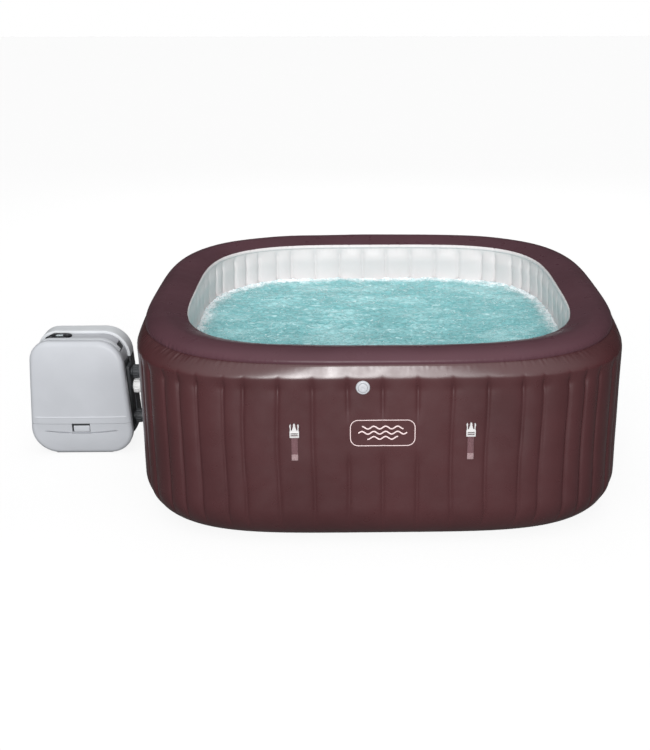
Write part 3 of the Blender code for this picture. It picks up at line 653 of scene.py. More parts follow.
def make_froth():
    """Froth along the liner, splashes up it, and loose bubbles on the water."""
    rng = np.random.default_rng(41)
    shape = Outline(LINER_HALF, LINER_POWER, 4000)
    x, y = Outline.at(shape.angles, LINER_HALF - 0.002, LINER_POWER)
    thick = np.clip(0.35 + 0.8 * WANDER(shape.along * 2.5, 1.0), 0.05, 1.6) * smoothstep(-0.55, 0.1, y)
    chosen = rng.choice(4000, 1500, p=thick / thick.sum())
    inward = rng.exponential(0.014, 1500)
    size = rng.uniform(0.0018, 0.0050, 1500) * np.exp(-inward / 0.05)
    px, py = x[chosen] - shape.normal[0][chosen] * inward, y[chosen] - shape.normal[1][chosen] * inward
    climb = np.where(rng.random(1500) < 0.14, rng.exponential(0.010, 1500) * thick[chosen], 0)
    climb = np.where(inward < 0.012, climb, 0)
    size = np.where(climb > 0.004, size * 0.55, size)
    froth = np.stack([px, py, WATER_Z + water_height(px, py) + size * 0.3 + climb + 0.001], axis=-1)
    loose_xy = rng.uniform(-0.74, 0.74, (420, 2))
    loose_z = WATER_Z + water_height(loose_xy[:, 0], loose_xy[:, 1]) + 0.0006
    bubbles = np.concatenate([loose_xy, loose_z[:, None]], axis=1)
    white = Paint("foam", (0.88, 0.93, 0.95), 0.25)
    white.mottle(90.0, -0.12).bump(white.noise(400.0, 3.0), 0.0004, 0.5)
    add_piece("froth", beads("froth", froth, size), white.material)
    add_piece("bubbles", beads("bubbles", bubbles, rng.uniform(0.0010, 0.0022, 420)), white.material)


# ---- solid pieces ----
ALONG = {"X": Matrix.Rotation(radians(90), 4, "Y"), "Y": Matrix.Rotation(radians(-90), 4, "X"),
         "Z": Matrix.Identity(4)}


def softened(profile, radius, closed):
    """Profile with each corner replaced by a short curve."""
    points = [Vector(point) for point in profile]
    made = []
    for i, here in enumerate(points):
        if not closed and i in (0, len(points) - 1):
            made.append(here)
            continue
        back, on = points[i - 1] - here, points[(i + 1) % len(points)] - here
        reach = min(radius, back.length * 0.45, on.length * 0.45)
        start, end = here + back.normalized() * reach, here + on.normalized() * reach
        for t in (0, 0.3, 0.7, 1):
            made.append(start * (1 - t) ** 2 + here * 2 * t * (1 - t) + end * t ** 2)
    return made


def turned(name, profile, place, axis, closed=False, soft=0.0008, segments=72, ribs=None, flip=False):
    """Turned mesh. The profile is (radius, height along the axis); ribs = (count, depth, least radius)."""
    line = softened(profile, soft, closed)
    angles = np.arange(segments) * 2 * pi / segments
    rows = []
    for radius, height in line:
        around = np.full(segments, radius)
        if ribs and radius > ribs[2]:
            around = radius - ribs[1] * smoothstep(-0.2, 0.5, np.cos(ribs[0] * angles))
        rows.append(np.stack([around * np.cos(angles), around * np.sin(angles), np.full(segments, height)], axis=-1))
    if closed:
        rows.append(rows[0])
    bm = bmesh.new()
    mesh = smooth_mesh(name, np.concatenate(rows), grid_faces(len(rows), segments))
    bm.from_mesh(mesh)
    bmesh.ops.remove_doubles(bm, verts=bm.verts, dist=1e-6)
    bmesh.ops.recalc_face_normals(bm, faces=bm.faces)
    turn = Matrix.Rotation(pi, 4, "X") if flip else Matrix.Identity(4)
    bm.transform(Matrix.Translation(place) @ ALONG[axis] @ turn)
    bm.to_mesh(mesh)
    bm.free()
    mesh.shade_smooth()
    mesh.set_sharp_from_angle(angle=radians(50))
    return mesh


def faced_outwards(mesh):
    bm = bmesh.new()
    bm.from_mesh(mesh)
    bmesh.ops.recalc_face_normals(bm, faces=bm.faces)
    bm.to_mesh(mesh)
    bm.free()
    return mesh


def finish_mesh(bm, name, bevel=0.0, segments=3, sharp=40):
    """Rounds the edges of a bmesh and returns it as a smooth mesh."""
    bmesh.ops.recalc_face_normals(bm, faces=bm.faces)
    if bevel:
        edges = [edge for edge in bm.edges if edge.is_manifold and edge.calc_face_angle() > radians(28)]
        bmesh.ops.bevel(bm, geom=edges, offset=bevel, segments=segments, profile=0.5, affect="EDGES",
                        clamp_overlap=True)
    mesh = bpy.data.meshes.new(name)
    bm.to_mesh(mesh)
    bm.free()
    mesh.shade_smooth()
    mesh.set_sharp_from_angle(angle=radians(sharp))
    return mesh


def prism(name, outline, axis, low, high, bevel=0.0, segments=3):
    """Flat outline pushed from low to high: (x, z) points along Y, or (x, y) points along Z."""
    bm = bmesh.new()
    rows = []
    for level in (low, high):
        rows.append([bm.verts.new((a, level, b) if axis == "Y" else (a, b, level)) for a, b in outline])
    count = len(outline)
    bm.faces.new(rows[0])
    bm.faces.new(rows[1])
    for i in range(count):
        bm.faces.new((rows[0][i], rows[0][(i + 1) % count], rows[1][(i + 1) % count], rows[1][i]))
    return finish_mesh(bm, name, bevel, segments)


def rounded_box(name, low, high, bevel, segments=3):
    low, high = Vector(low), Vector(high)
    outline = [(low.x, low.y), (high.x, low.y), (high.x, high.y), (low.x, high.y)]
    return prism(name, outline, "Z", low.z, high.z, bevel, segments)


def loose(mesh):
    """An object that is only used to cut another."""
    made = bpy.data.objects.new(mesh.name, mesh)
    scene.collection.objects.link(made)
    return made


def carved(mesh, cutters, operation="DIFFERENCE", bevel=0.0, sharp=40):
    """The mesh after Boolean steps with other meshes."""
    target = loose(mesh)
    tools = [loose(cutter) for cutter in cutters]
    for tool in tools:
        step = target.modifiers.new("step", "BOOLEAN")
        step.operation, step.solver, step.object = operation, "EXACT", tool
    if bevel:
        rounding = target.modifiers.new("rounding", "BEVEL")
        rounding.width, rounding.segments, rounding.limit_method = bevel, 2, "ANGLE"
        rounding.angle_limit = radians(45)
        rounding.harden_normals = False
    made = bpy.data.meshes.new_from_object(target.evaluated_get(bpy.context.evaluated_depsgraph_get()))
    made.shade_smooth()
    made.set_sharp_from_angle(angle=radians(sharp))
    for item in [target, *tools]:
        bpy.data.objects.remove(item)
    return made


# ---- valve, drain, badge ----
def outline_y(x):
    """The tub's front outline."""
    return -OUTER_HALF * (1 - np.abs(x / OUTER_HALF) ** OUTER_POWER) ** (1 / OUTER_POWER)


class FrontStrip:
    """Stands in for an outline at chosen places along the front wall."""

    def __init__(self, x):
        front_x, _ = Outline.at(WALL.angles, OUTER_HALF, OUTER_POWER)
        count = WALL_COLUMNS // 8
        order = np.concatenate([np.arange(-count, 0), np.arange(count)])
        signed = np.where(order < 0, WALL.along[order] - WALL.length, WALL.along[order])
        self.along = np.interp(x, front_x[order], signed)
        self.corner = np.interp(x, front_x[order], WALL.corner[order])


def front_y(x, z):
    """Where the visible wall is, at a place on its front."""
    x, z = np.asarray(x, float), np.asarray(z, float)
    return outline_y(x) - wall_push(FrontStrip(x), z, z - SEAM_Z)


def ribbon(name, lines, width, closed, lift=0.0005):
    """Thin printed lines on the front wall. Each line is a list of (x, z)."""
    points, faces = [], []
    for line in lines:
        line = np.array(line)
        ahead = np.roll(line, -1, axis=0) - np.roll(line, 1, axis=0)
        if not closed:
            ahead[0], ahead[-1] = line[1] - line[0], line[-1] - line[-2]
        across = np.stack([-ahead[:, 1], ahead[:, 0]], axis=-1) / np.hypot(*ahead.T)[:, None]
        first = len(points)
        for side in (0.5, -0.5):
            edge = line + across * width * side
            y = front_y(edge[:, 0], edge[:, 1]) - lift
            points += np.stack([edge[:, 0], y, edge[:, 1]], axis=-1).tolist()
        faces += grid_faces(2, len(line), closed, first)
    return smooth_mesh(name, points, faces)


def make_badge(material):
    """A generic printed badge: a rounded frame around three waves."""
    half_width, half_height, radius, middle = 0.122, 0.052, 0.030, 0.486
    frame_line = []
    for i, (side, up) in enumerate(((1, -1), (1, 1), (-1, 1), (-1, -1))):
        for t in np.linspace(0, pi / 2, 9):
            angle = -pi / 2 + i * pi / 2 + t
            frame_line.append((side * (half_width - radius) + radius * cos(angle),
                               middle + up * (half_height - radius) + radius * sin(angle)))
    dense = []
    for start, end in zip(frame_line, frame_line[1:] + frame_line[:1]):
        steps = max(1, int(np.hypot(end[0] - start[0], end[1] - start[1]) / 0.004))
        dense += [tuple(np.array(start) + (np.array(end) - np.array(start)) * k / steps) for k in range(steps)]
    add_piece("badge_frame", ribbon("badge_frame", [dense], 0.0030, True), material)
    waves = []
    for reach, z in ((0.078, 0.508), (0.092, 0.487), (0.058, 0.466)):
        x = np.linspace(-reach, reach, 90)
        waves.append(np.stack([x, z + 0.0055 * np.sin(2 * pi * x / 0.045)], axis=-1))
    add_piece("badge_waves", ribbon("badge_waves", waves, 0.0050, False), material)


def make_valve(paint):
    x, y, z = -0.074, -1.0175, 0.670
    body = [(0.0145, 0.050), (0.0145, 0.020), (0.0262, 0.020), (0.0268, 0.0085), (0.0235, 0.0040), (0.0190, 0.0040),
            (0.0190, 0.0068), (0.011, 0.0068), (0.011, 0.050)]
    add_piece("valve_body", turned("valve_body", body, (x, y, z), "Y", True, 0.0012), paint["valve"],
              replaces=("air_valve_body",))
    cap = [(0.0, 0.0060), (0.0165, 0.0060), (0.0178, 0.0025), (0.0150, 0.0004), (0.0062, -0.0002), (0.0055, 0.0008),
           (0.0, 0.0008)]
    add_piece("valve_cap", turned("valve_cap", cap, (x, y, z), "Y", False, 0.0008, 96, (24, 0.0006, 0.0170)),
              paint["valve"], "air_valve_cap", ("air_valve_cap",))


def make_drain(paint):
    y, z = 0.20, 0.135
    fitting = [(0.018, 0.2165), (0.018, 0.212), (0.032, 0.211), (0.033, 0.2020), (0.0165, 0.2020), (0.0165, 0.0125),
               (0.029, 0.0125), (0.028, 0.008), (0.018, 0.008), (0.018, 0.004), (0.012, 0.004), (0.012, 0.2165)]
    add_piece("drain_body", turned("drain_body", fitting, (0.800, y, z), "X", True), paint["white_plastic"],
              replaces=("drain_fitting",))
    outer = [(0.0, 0.0078), (0.016, 0.0082), (0.018, 0.0102), (0.0245, 0.0100), (0.026, 0.0075), (0.026, -0.004),
             (0.019, -0.004), (0.019, 0.002), (0.0, 0.002)]
    mesh = turned("drain_outer", outer, (1.0171, y, z), "X", False, 0.0008, 144, (36, 0.0010, 0.0255))
    add_piece("drain_outer", mesh, paint["white_plastic"], "drain_cap_outer", ("drain_cap_outer",))
    inner = [(0.0, 0.0), (0.019, 0.0), (0.019, 0.0035), (0.024, 0.0035), (0.024, -0.004), (0.021, -0.0062),
             (0.008, -0.0060), (0.006, -0.0045), (0.0, -0.0045)]
    mesh = turned("drain_inner", inner, (0.8037, y, z), "X", False, 0.0008, 120, (30, 0.0008, 0.0235))
    add_piece("drain_inner", mesh, paint["white_plastic"], "drain_cap_inner", ("drain_cap_inner",))


# ---- straps and buckles ----
def band_mesh(name, path, half_width, thick, edge=0.0006):
    """A flat band along a path of (y, z), centred on x = 0."""
    points = []
    line = [Vector(point) for point in path]
    for i, here in enumerate(line):
        run = (line[min(i + 1, len(line) - 1)] - line[max(i - 1, 0)]).normalized()
        side = Vector((run.y, -run.x)) * thick / 2
        top = [(-half_width, 0.35), (-half_width + edge, 1), (half_width - edge, 1), (half_width, 0.35)]
        for x, reach in top + [(x, -reach) for x, reach in top[::-1]]:
            points.append((x, here.x + side.x * reach, here.y + side.y * reach))
    faces = grid_faces(len(line), 8)
    faces += [tuple(range(8))[::-1], tuple(range(8 * (len(line) - 1), 8 * len(line)))]
    return faced_outwards(smooth_mesh(name, points, faces, 50))


def make_strap(number, x, side, paint):
    """Webbing tail with a folded and stitched tip, and the loop that ties it to the buckle."""
    y = 1.0055
    path = [(-y, 0.4622), (-y - 0.0002, 0.450), (-y - 0.0006, 0.430), (-y - 0.0004, 0.408), (-y - 0.0001, 0.392),
            (-y, 0.3768)]
    tail = band_mesh(f"strap_tail_{number}", path, 0.0122, 0.0019)
    fold = [(-y - 0.0019, 0.4010), (-y - 0.0020, 0.3990), (-y - 0.0018, 0.3850), (-y - 0.0016, 0.3775),
            (-y - 0.0010, 0.3762)]
    tip = band_mesh(f"strap_tip_{number}", fold, 0.0122, 0.0017)
    loop = [(-1.0060, 0.4618), (-1.0052, 0.4670), (-1.0050, 0.4760), (-1.0062, 0.4818), (-1.0095, 0.4835),
            (-1.0125, 0.4825)]
    link = band_mesh(f"strap_loop_{number}", loop, 0.0122, 0.0017)
    patch = rounded_box(f"weld_patch_{number}", (-0.016, -1.0043, 0.476), (0.016, -0.985, 0.520), 0.0006, 2)
    for mesh, body, nodes, finish in ((tail, f"strap_{number}", (f"strap_{number}",), "webbing"),
                                      (tip, f"strap_{number}", (), "webbing_tip"), (link, ROOT, (), "webbing"),
                                      (patch, ROOT, (), "plum")):
        mesh.transform(Matrix.Translation((x, 0, 0)) @ Matrix.Scale(-side, 4, (0, 1, 0)))
        if side > 0:
            mesh.flip_normals()
        add_piece(mesh.name, mesh, paint[finish], body, nodes)


def make_buckle(number, x, side, paint):
    """Male half of a side-release buckle: base with a ladder slot, two sprung prongs and a guide tongue."""
    half, low = 0.018, 0.471
    base_top, top = low + 0.026, low + 0.056
    prong = [(half, low + 0.003), (half, base_top - 0.001), (half - 0.0016, base_top + 0.003),
             (half - 0.0016, top - 0.016), (half - 0.0001, top - 0.0115), (half - 0.0004, top - 0.006),
             (half - 0.0026, top - 0.0015), (half - 0.0048, top - 0.0010), (half - 0.0056, top - 0.004),
             (half - 0.0056, base_top + 0.005), (half - 0.0066, base_top + 0.003)]
    tongue = [(0.0088, base_top + 0.003), (0.0078, base_top + 0.008), (0.0036, top - 0.009),
              (0.0036, top - 0.002), (0.0028, top), (0.0, top)]
    right = prong + tongue
    left = [(-across, z) for across, z in right[-2::-1]]
    outline = right + left + [(-half + 0.003, low), (half - 0.003, low)]
    body = prism("buckle_body", outline, "Y", -0.0042, 0.0042, 0.0011, 3)
    rim = rounded_box("buckle_rim", (-half, -0.0050, low), (half, 0.0048, low + 0.0255), 0.0018, 3)
    joined = carved(body, [rim], "UNION")
    windows = [rounded_box("window", (-0.0135, -0.02, low + a), (0.0135, 0.02, low + b), 0.0012, 2)
               for a, b in ((0.0075, 0.0125), (0.0148, 0.0198))]
    mesh = carved(joined, windows, sharp=35)
    mesh.transform(Matrix.Translation((x, side * 1.0090, 0)))
    mesh.name = f"buckle_shell_{number}"
    add_piece(mesh.name, mesh, paint["buckle"], f"buckle_{number}", (f"buckle_{number}",))


def make_straps(paint):
    number = 0
    for side in (-1, 1):
        for x in (-0.333, 0.333):
            number += 1
            make_strap(number, x, side, paint)
            make_buckle(number, x, side, paint)


# ---- couplings ----
PORT_Y = 0.045
PORT_ZS = (0.362, 0.292, 0.142)


def make_couplings(paint):
    """Heights run from the pump unit towards the tub."""
    fitting = [(0.0275, 0.290), (0.034, 0.290), (0.034, 0.2827), (0.019, 0.2827), (0.019, 0.096), (0.034, 0.096),
               (0.034, 0.0835), (0.025, 0.0825), (0.025, 0.0), (0.014, 0.0), (0.014, 0.284), (0.0275, 0.284)]
    nut = [(0.029, 0.060), (0.033, 0.056), (0.033, 0.036), (0.0318, 0.034), (0.0318, 0.026), (0.033, 0.024),
           (0.033, 0.004), (0.030, 0.0), (0.0205, 0.0), (0.0205, 0.006), (0.0262, 0.0075), (0.0262, 0.060)]
    for number, z in enumerate(PORT_ZS, 1):
        add_piece(f"fitting_{number}", turned(f"fitting_{number}", fitting, (-1.097, PORT_Y, z), "X", True),
                  paint["white_plastic"], replaces=(f"wall_fitting_{number}",))
        look, slot = ("white_plastic", "white_plastic") if number == 2 else ("dark", "dark_plastic")
        ribs = (12, 0.0026, 0.0322)
        add_piece(f"nut_{number}", turned(f"nut_{number}", nut, (-1.135, PORT_Y, z), "X", True, 0.0008, 144, ribs),
                  paint[look], f"coupling_nut_{number}", (f"coupling_nut_{number}",))
    block = rounded_box("port_plate", (-1.185, 0.004, 0.110), (-1.1435, 0.086, 0.398), 0.006, 4)
    nipples = [turned(f"nipple_{z}", [(0.0, 0.049), (0.025, 0.049), (0.025, 0.023), (0.021, 0.021), (0.019, 0.017),
                                      (0.019, 0.0), (0.0, 0.0)], (-1.150, PORT_Y, z), "X") for z in PORT_ZS]
    bores = [turned(f"bore_{z}", [(0.0, -0.05), (0.014, -0.05), (0.014, 0.12), (0.0, 0.12)], (-1.150, PORT_Y, z), "X")
             for z in PORT_ZS]
    mesh = carved(carved(block, nipples, "UNION"), bores)
    mesh.name = "port_plate"
    add_piece("port_plate", mesh, paint["dark"], replaces=("port_block",))


def make_jets(paint):
    profile = [(0.0085, 0.0275), (0.0140, 0.0262), (0.022, 0.0265), (0.0325, 0.0205), (0.034, 0.0175), (0.034, 0.0145),
               (0.0195, 0.0145), (0.0195, 0.0), (0.0085, 0.0)]
    number = 0
    for side in (-1, 1):
        for x in (-0.24, 0.24):
            number += 1
            mesh = turned(f"jet_ring_{number}", profile, (x, side * 0.826, 0.30), "Y", True, 0.0010, 96,
                          (12, 0.0014, 0.0330), side > 0)
            body = f"jet_nozzle_{number}"
            add_piece(mesh.name, mesh, paint["pale"], body, (body,))


# ---- pump unit ----
POD_X, POD_LOW, POD_TOP = -1.3655, 0.004, 0.545
POD_HALF_LOW, POD_HALF_HIGH = 0.2385, 0.205
POD_ROUNDS = (0.108, 0.120, 0.088, 0.124)  # corner radii, from the lower right round to the lower left
POD_STRAIGHTS = (18, 12, 18, 14)  # pieces along each straight side, in the same order
BAND_INSET = 0.012
BAND_FRONT, BAND_BACK = -0.045, 0.092
COVER_SEAM = 0.156
LATCH_HALF, LATCH_LOW = 0.0385, 0.118


def pod_corners(inset):
    low, high = POD_LOW + inset, POD_TOP - inset
    half_low, half_high = POD_HALF_LOW - inset, POD_HALF_HIGH - inset
    rounds = [max(radius - inset, 0.02) for radius in POD_ROUNDS]
    return list(zip((half_low, half_high, -half_high, -half_low), (low, high, high, low), rounds))


def pod_outline(inset, steps=20):
    """Front view outline of the pump unit, set in by a margin, with points along its straight sides."""
    corners, arcs = pod_corners(inset), []
    for i, (x, z, radius) in enumerate(corners):
        here = Vector((x, z))
        before = (Vector(corners[i - 1][:2]) - here).normalized()
        after = (Vector(corners[(i + 1) % 4][:2]) - here).normalized()
        half_turn = before.angle(after) / 2
        middle = here + (before + after).normalized() * radius / sin(half_turn)
        start = here + before * radius / tan(half_turn) - middle
        sweep = -start.angle_signed(here + after * radius / tan(half_turn) - middle)
        arcs.append([(POD_X + middle.x + start.x * cos(a) - start.y * sin(a),
                      middle.y + start.x * sin(a) + start.y * cos(a)) for a in np.linspace(0, sweep, steps)])
    outline = []
    for i, arc in enumerate(arcs):
        outline += arc
        start, end = np.array(arc[-1]), np.array(arcs[(i + 1) % 4][0])
        pieces = POD_STRAIGHTS[i]
        outline += [tuple(start + (end - start) * k / pieces) for k in range(1, pieces)]
    return outline


def pod_shell(name, steps):
    """Casing through rings of (y, inset), open at its first ring and closed at its last."""
    rings = [[(x, y, z) for x, z in pod_outline(inset)] for y, inset in steps]
    count = len(rings[0])
    points = np.concatenate([np.array(ring) for ring in rings])
    faces = grid_faces(len(rings), count)
    faces.append(tuple(range(count * (len(rings) - 1), count * len(rings))))
    mesh = bpy.data.meshes.new(name)
    mesh.from_pydata(points.tolist(), [], faces)
    return faced_outwards(mesh)


def thickened(mesh, thickness=SKIN):
    target = loose(mesh)
    wall = target.modifiers.new("wall", "SOLIDIFY")
    wall.thickness, wall.offset, wall.use_even_offset = thickness, -1.0, True
    made = bpy.data.meshes.new_from_object(target.evaluated_get(bpy.context.evaluated_depsgraph_get()))
    bpy.data.objects.remove(target)
    return made


def pod_depth(x, z):
    """Distance inside the front view outline."""
    corners = pod_corners(0)
    x = x - POD_X
    depth = np.full(np.shape(x), 9.0)
    normals = []
    for i in range(4):
        run = Vector(corners[(i + 1) % 4][:2]) - Vector(corners[i][:2])
        normals.append(Vector((run.y, -run.x)).normalized())
        depth = np.minimum(depth, normals[i].x * (corners[i][0] - x) + normals[i].y * (corners[i][1] - z))
    for i, (corner_x, corner_z, radius) in enumerate(corners):
        before, after = normals[i - 1], normals[i]
        middle = Vector((corner_x, corner_z)) - (before + after) * radius / (1 + before.dot(after))
        across, up = x - middle.x, z - middle.y
        inside = (before.x * up - before.y * across > 0) & (across * after.y - up * after.x > 0)
        depth = np.where(inside, np.minimum(depth, radius - np.hypot(across, up)), depth)
    return depth


def front_face(x, z):
    """Depth of the domed front, with its crease, its curved groove and the pocket behind the latch."""
    depth = pod_depth(x, z)
    edge = np.clip(1 - depth / 0.019, 0, 1)
    y = -0.0680 - 0.0155 * np.sqrt(1 - edge ** 2) - 0.0080 * (1 - np.exp(-np.maximum(depth, 0) / 0.05))
    y = y + 0.0110 * np.clip((z - 0.38) / 0.16, 0, 1) ** 1.7 + 0.0060 * np.clip((0.085 - z) / 0.08, 0, 1) ** 1.5
    across = np.abs(x - POD_X)
    fade = smoothstep(0.212, 0.196, across)
    y = y - fade * (0.0008 * np.exp(-((z - 0.1865) / 0.0022) ** 2) + 0.0028 * smoothstep(0.1905, 0.1865, z)
                    * smoothstep(0.112, 0.176, z))
    reach = across / 0.166
    groove_z = 0.1105 + 0.0105 * reach ** 2
    half = 0.0040 * np.sqrt(np.clip(1 - reach ** 2, 0, 1)) + 0.0004
    groove = np.clip(1 - np.abs((z - groove_z) / half), 0, 1) * (reach < 1)
    return y + 0.0105 * smoothstep(0, 0.55, groove)


def front_mesh(name, low, high):
    """The part of the domed front between two heights, with a lip turned inwards all round."""
    bm = bmesh.new()
    levels = [0.0, 0.0006, 0.0018, 0.0038, 0.0065, 0.010, 0.014, 0.019]
    rings = [[bm.verts.new((x, 0, z)) for x, z in pod_outline(level)] for level in levels]
    count = len(rings[0])
    for outer, inner in zip(rings, rings[1:]):
        for i in range(count):
            bm.faces.new((outer[i], outer[(i + 1) % count], inner[(i + 1) % count], inner[i]))
    bm.faces.new(rings[-1])
    cuts = [(Vector((0, 0, z)), Vector((0, 0, 1))) for z in np.concatenate([
        np.arange(0.016, 0.105, 0.010), np.arange(0.105, 0.126, 0.0009), np.arange(0.130, 0.178, 0.008),
        np.arange(0.178, 0.195, 0.0014), np.arange(0.205, 0.54, 0.012)]) if low < z < high]
    cuts += [(Vector((x, 0, 0)), Vector((1, 0, 0))) for x in POD_X + np.arange(-0.2345, 0.2346, 0.0067)]
    for place, normal in cuts:
        bmesh.ops.bisect_plane(bm, geom=[*bm.verts, *bm.edges, *bm.faces], dist=1e-6, plane_co=place, plane_no=normal)
    for z, side in ((low, -1), (high, 1)):
        bmesh.ops.bisect_plane(bm, geom=[*bm.verts, *bm.edges, *bm.faces], dist=1e-6, plane_co=(0, 0, z),
                               plane_no=(0, 0, side), clear_outer=True)
    places = np.array([vert.co for vert in bm.verts])
    for vert, y in zip(bm.verts, front_face(places[:, 0], places[:, 2])):
        vert.co.y = y
    rim = [edge for edge in bm.edges if edge.is_boundary]
    for y, inward in ((BAND_FRONT, 0.0), (BAND_FRONT + 0.0001, 0.0030)):
        sides = bmesh.ops.extrude_edge_only(bm, edges=rim)["geom"]
        rim = [item for item in sides if isinstance(item, bmesh.types.BMEdge)]
        for vert in (item for item in sides if isinstance(item, bmesh.types.BMVert)):
            seam = min(abs(vert.co.z - low), abs(vert.co.z - high)) < 1e-5 and pod_depth(vert.co.x, vert.co.z) > 0.001
            if not seam:
                vert.co.y = y
                if inward:
                    middle = Vector((POD_X, vert.co.y, 0.27))
                    vert.co += (middle - vert.co).normalized() * inward
            elif not inward:
                vert.co.y += 0.006
        rim = [edge for edge in rim if edge.is_boundary]
    bmesh.ops.recalc_face_normals(bm, faces=bm.faces)
    return finish_mesh(bm, name, 0, 0, 38)


def make_front(paint):
    cover = front_mesh("cover_front", COVER_SEAM + 0.0006, 1.0)
    notch = rounded_box("notch", (POD_X - 0.0415, -0.2, 0.10), (POD_X + 0.0415, -0.070, 0.1580), 0.002, 3)
    lower = front_mesh("lower_front", -1.0, COVER_SEAM - 0.0006)
    pocket = rounded_box("pocket", (POD_X - 0.0415, -0.2, 0.1165), (POD_X + 0.0415, -0.070, 0.1900), 0.002, 3)
    add_piece("cover_front", open_cut(cover, notch), paint["shell"], "front_cover", ("front_cover",))
    add_piece("lower_front", open_cut(lower, pocket), paint["shell"], replaces=("lower_front_shell",))
    # Painted shade: a near-black sheet at the back of the latch pocket stands for the shade in the gaps round the tab.
    back = rounded_box("latch_recess", (POD_X - 0.044, -0.0755, 0.112), (POD_X + 0.044, -0.0725, 0.150), 0.001, 2)
    add_piece("latch_recess", back, paint["dark"])
    tab = rounded_box("latch_face", (POD_X - LATCH_HALF + 0.0055, -0.0962, LATCH_LOW),
                      (POD_X + LATCH_HALF + 0.0015, -0.0860, COVER_SEAM - 0.0085), 0.0035, 5)
    hook = rounded_box("latch_hook", (POD_X - 0.012, -0.090, 0.128), (POD_X + 0.012, -0.062, 0.140), 0.001, 2)
    mesh = carved(tab, [hook], "UNION")
    mesh.name = "latch_face"
    add_piece("latch_face", mesh, paint["shell"], "latch_tab", ("latch_tab",))


def open_cut(mesh, cutter):
    """Cuts a box out of an open skin: faces inside the box go, and the edge is turned inwards."""
    low, high = Vector(cutter.vertices[0].co), Vector(cutter.vertices[0].co)
    for vert in cutter.vertices:
        low = Vector(map(min, low, vert.co))
        high = Vector(map(max, high, vert.co))
    bm = bmesh.new()
    bm.from_mesh(mesh)
    for axis in (0, 2):
        for level in (low[axis], high[axis]):
            normal = Vector((axis == 0, 0, axis == 2))
            bmesh.ops.bisect_plane(bm, geom=[*bm.verts, *bm.edges, *bm.faces], dist=1e-7,
                                   plane_co=normal * level, plane_no=normal)
    doomed = [face for face in bm.faces if all(low[k] < face.calc_center_median()[k] < high[k] for k in range(3))]
    bmesh.ops.delete(bm, geom=doomed, context="FACES")
    rim = [edge for edge in bm.edges if edge.is_boundary
           and all(low[k] - 1e-5 < (edge.verts[0].co + edge.verts[1].co)[k] / 2 < high[k] + 1e-5 for k in range(3))]
    made = bmesh.ops.extrude_edge_only(bm, edges=rim)["geom"]
    for item in made:
        if isinstance(item, bmesh.types.BMVert):
            item.co.y += 0.012
    return finish_mesh(bm, mesh.name, 0, 0, 38)


def make_band(paint):
    steps = [(BAND_BACK - 0.0005, BAND_INSET)]
    steps += [(y, BAND_INSET) for y in np.linspace(0.08, -0.03, 9)] + [(BAND_FRONT + 0.001, BAND_INSET)]
    shell = thickened(pod_shell("band", steps))
    cutters = [rounded_box("filter_opening", (POD_X - 0.13, -0.06, 0.26), (POD_X + 0.13, -0.02, 0.40), 0.004, 3),
               rounded_box("port_opening", (-1.20, 0.0035, 0.1095), (-1.10, 0.0865, 0.3985), 0.004, 3)]
    for side, radius in ((-1, POD_ROUNDS[2]), (1, POD_ROUNDS[1])):
        angle, reach = radians(34), radius - BAND_INSET
        slot = rounded_box(f"hand_hole_{side}", (-0.02, 0.004, -0.017), (0.02, 0.087, 0.017), 0.008, 5)
        middle = Vector((POD_X + side * (POD_HALF_HIGH - radius + reach * cos(angle)), 0,
                         POD_TOP - radius + reach * sin(angle)))
        slot.transform(Matrix.Translation(middle) @ Matrix.Rotation(-side * angle, 4, "Y"))
        cutters.append(slot)
    mesh = carved(shell, cutters, bevel=0.0012, sharp=35)
    mesh.name = "band_shell"
    add_piece("band_shell", mesh, paint["band"], replaces=("centre_frame",))


def make_side_panels(paint):
    """Ribbed dark panels down both sides of the band, with ribs that run front to back."""
    lean = (POD_HALF_LOW - POD_HALF_HIGH) / (POD_TOP - POD_LOW)
    low, high, pitch = 0.10, 0.43, 0.006
    ribs = int((high - low) / pitch)
    for name, side in (("left", -1), ("right", 1)):
        outline = [(-0.001, 0.0)]
        for i in range(ribs):
            foot = i * pitch
            outline += [(0.0020, foot), (0.0046, foot + 0.0012), (0.0050, foot + 0.0020), (0.0046, foot + 0.0028),
                        (0.0020, foot + 0.0040)]
        outline.append((-0.001, ribs * pitch))
        mesh = prism(f"side_ribs_{name}", [(side * x, z) for x, z in outline], "Y", -0.040, 0.089, 0.0004, 1)
        base = POD_X + side * (POD_HALF_LOW - BAND_INSET + 0.0004 - lean * (low - POD_LOW))
        mesh.transform(Matrix.Translation((base, 0, low)) @ Matrix.Rotation(-side * lean, 4, "Y"))
        add_piece(mesh.name, mesh, paint["dark"], replaces=(f"vent_grille_{name}",))


def make_rail(paint):
    left_end = POD_X - 0.150
    edges = []
    for inset, lowest in ((0.0025, 0.487), (BAND_INSET - 0.0003, 0.482)):
        edge = [(x, z) for x, z in pod_outline(inset, 40) if z > lowest and x > left_end + 0.001]
        edges.append(edge + [(left_end, POD_TOP - inset)])
    outer, inner = edges
    mesh = prism("rail", outer + inner[::-1], "Y", -0.030, 0.001, 0.0022, 4)
    add_piece("rail", mesh, paint["rail"], replaces=("top_rail",))


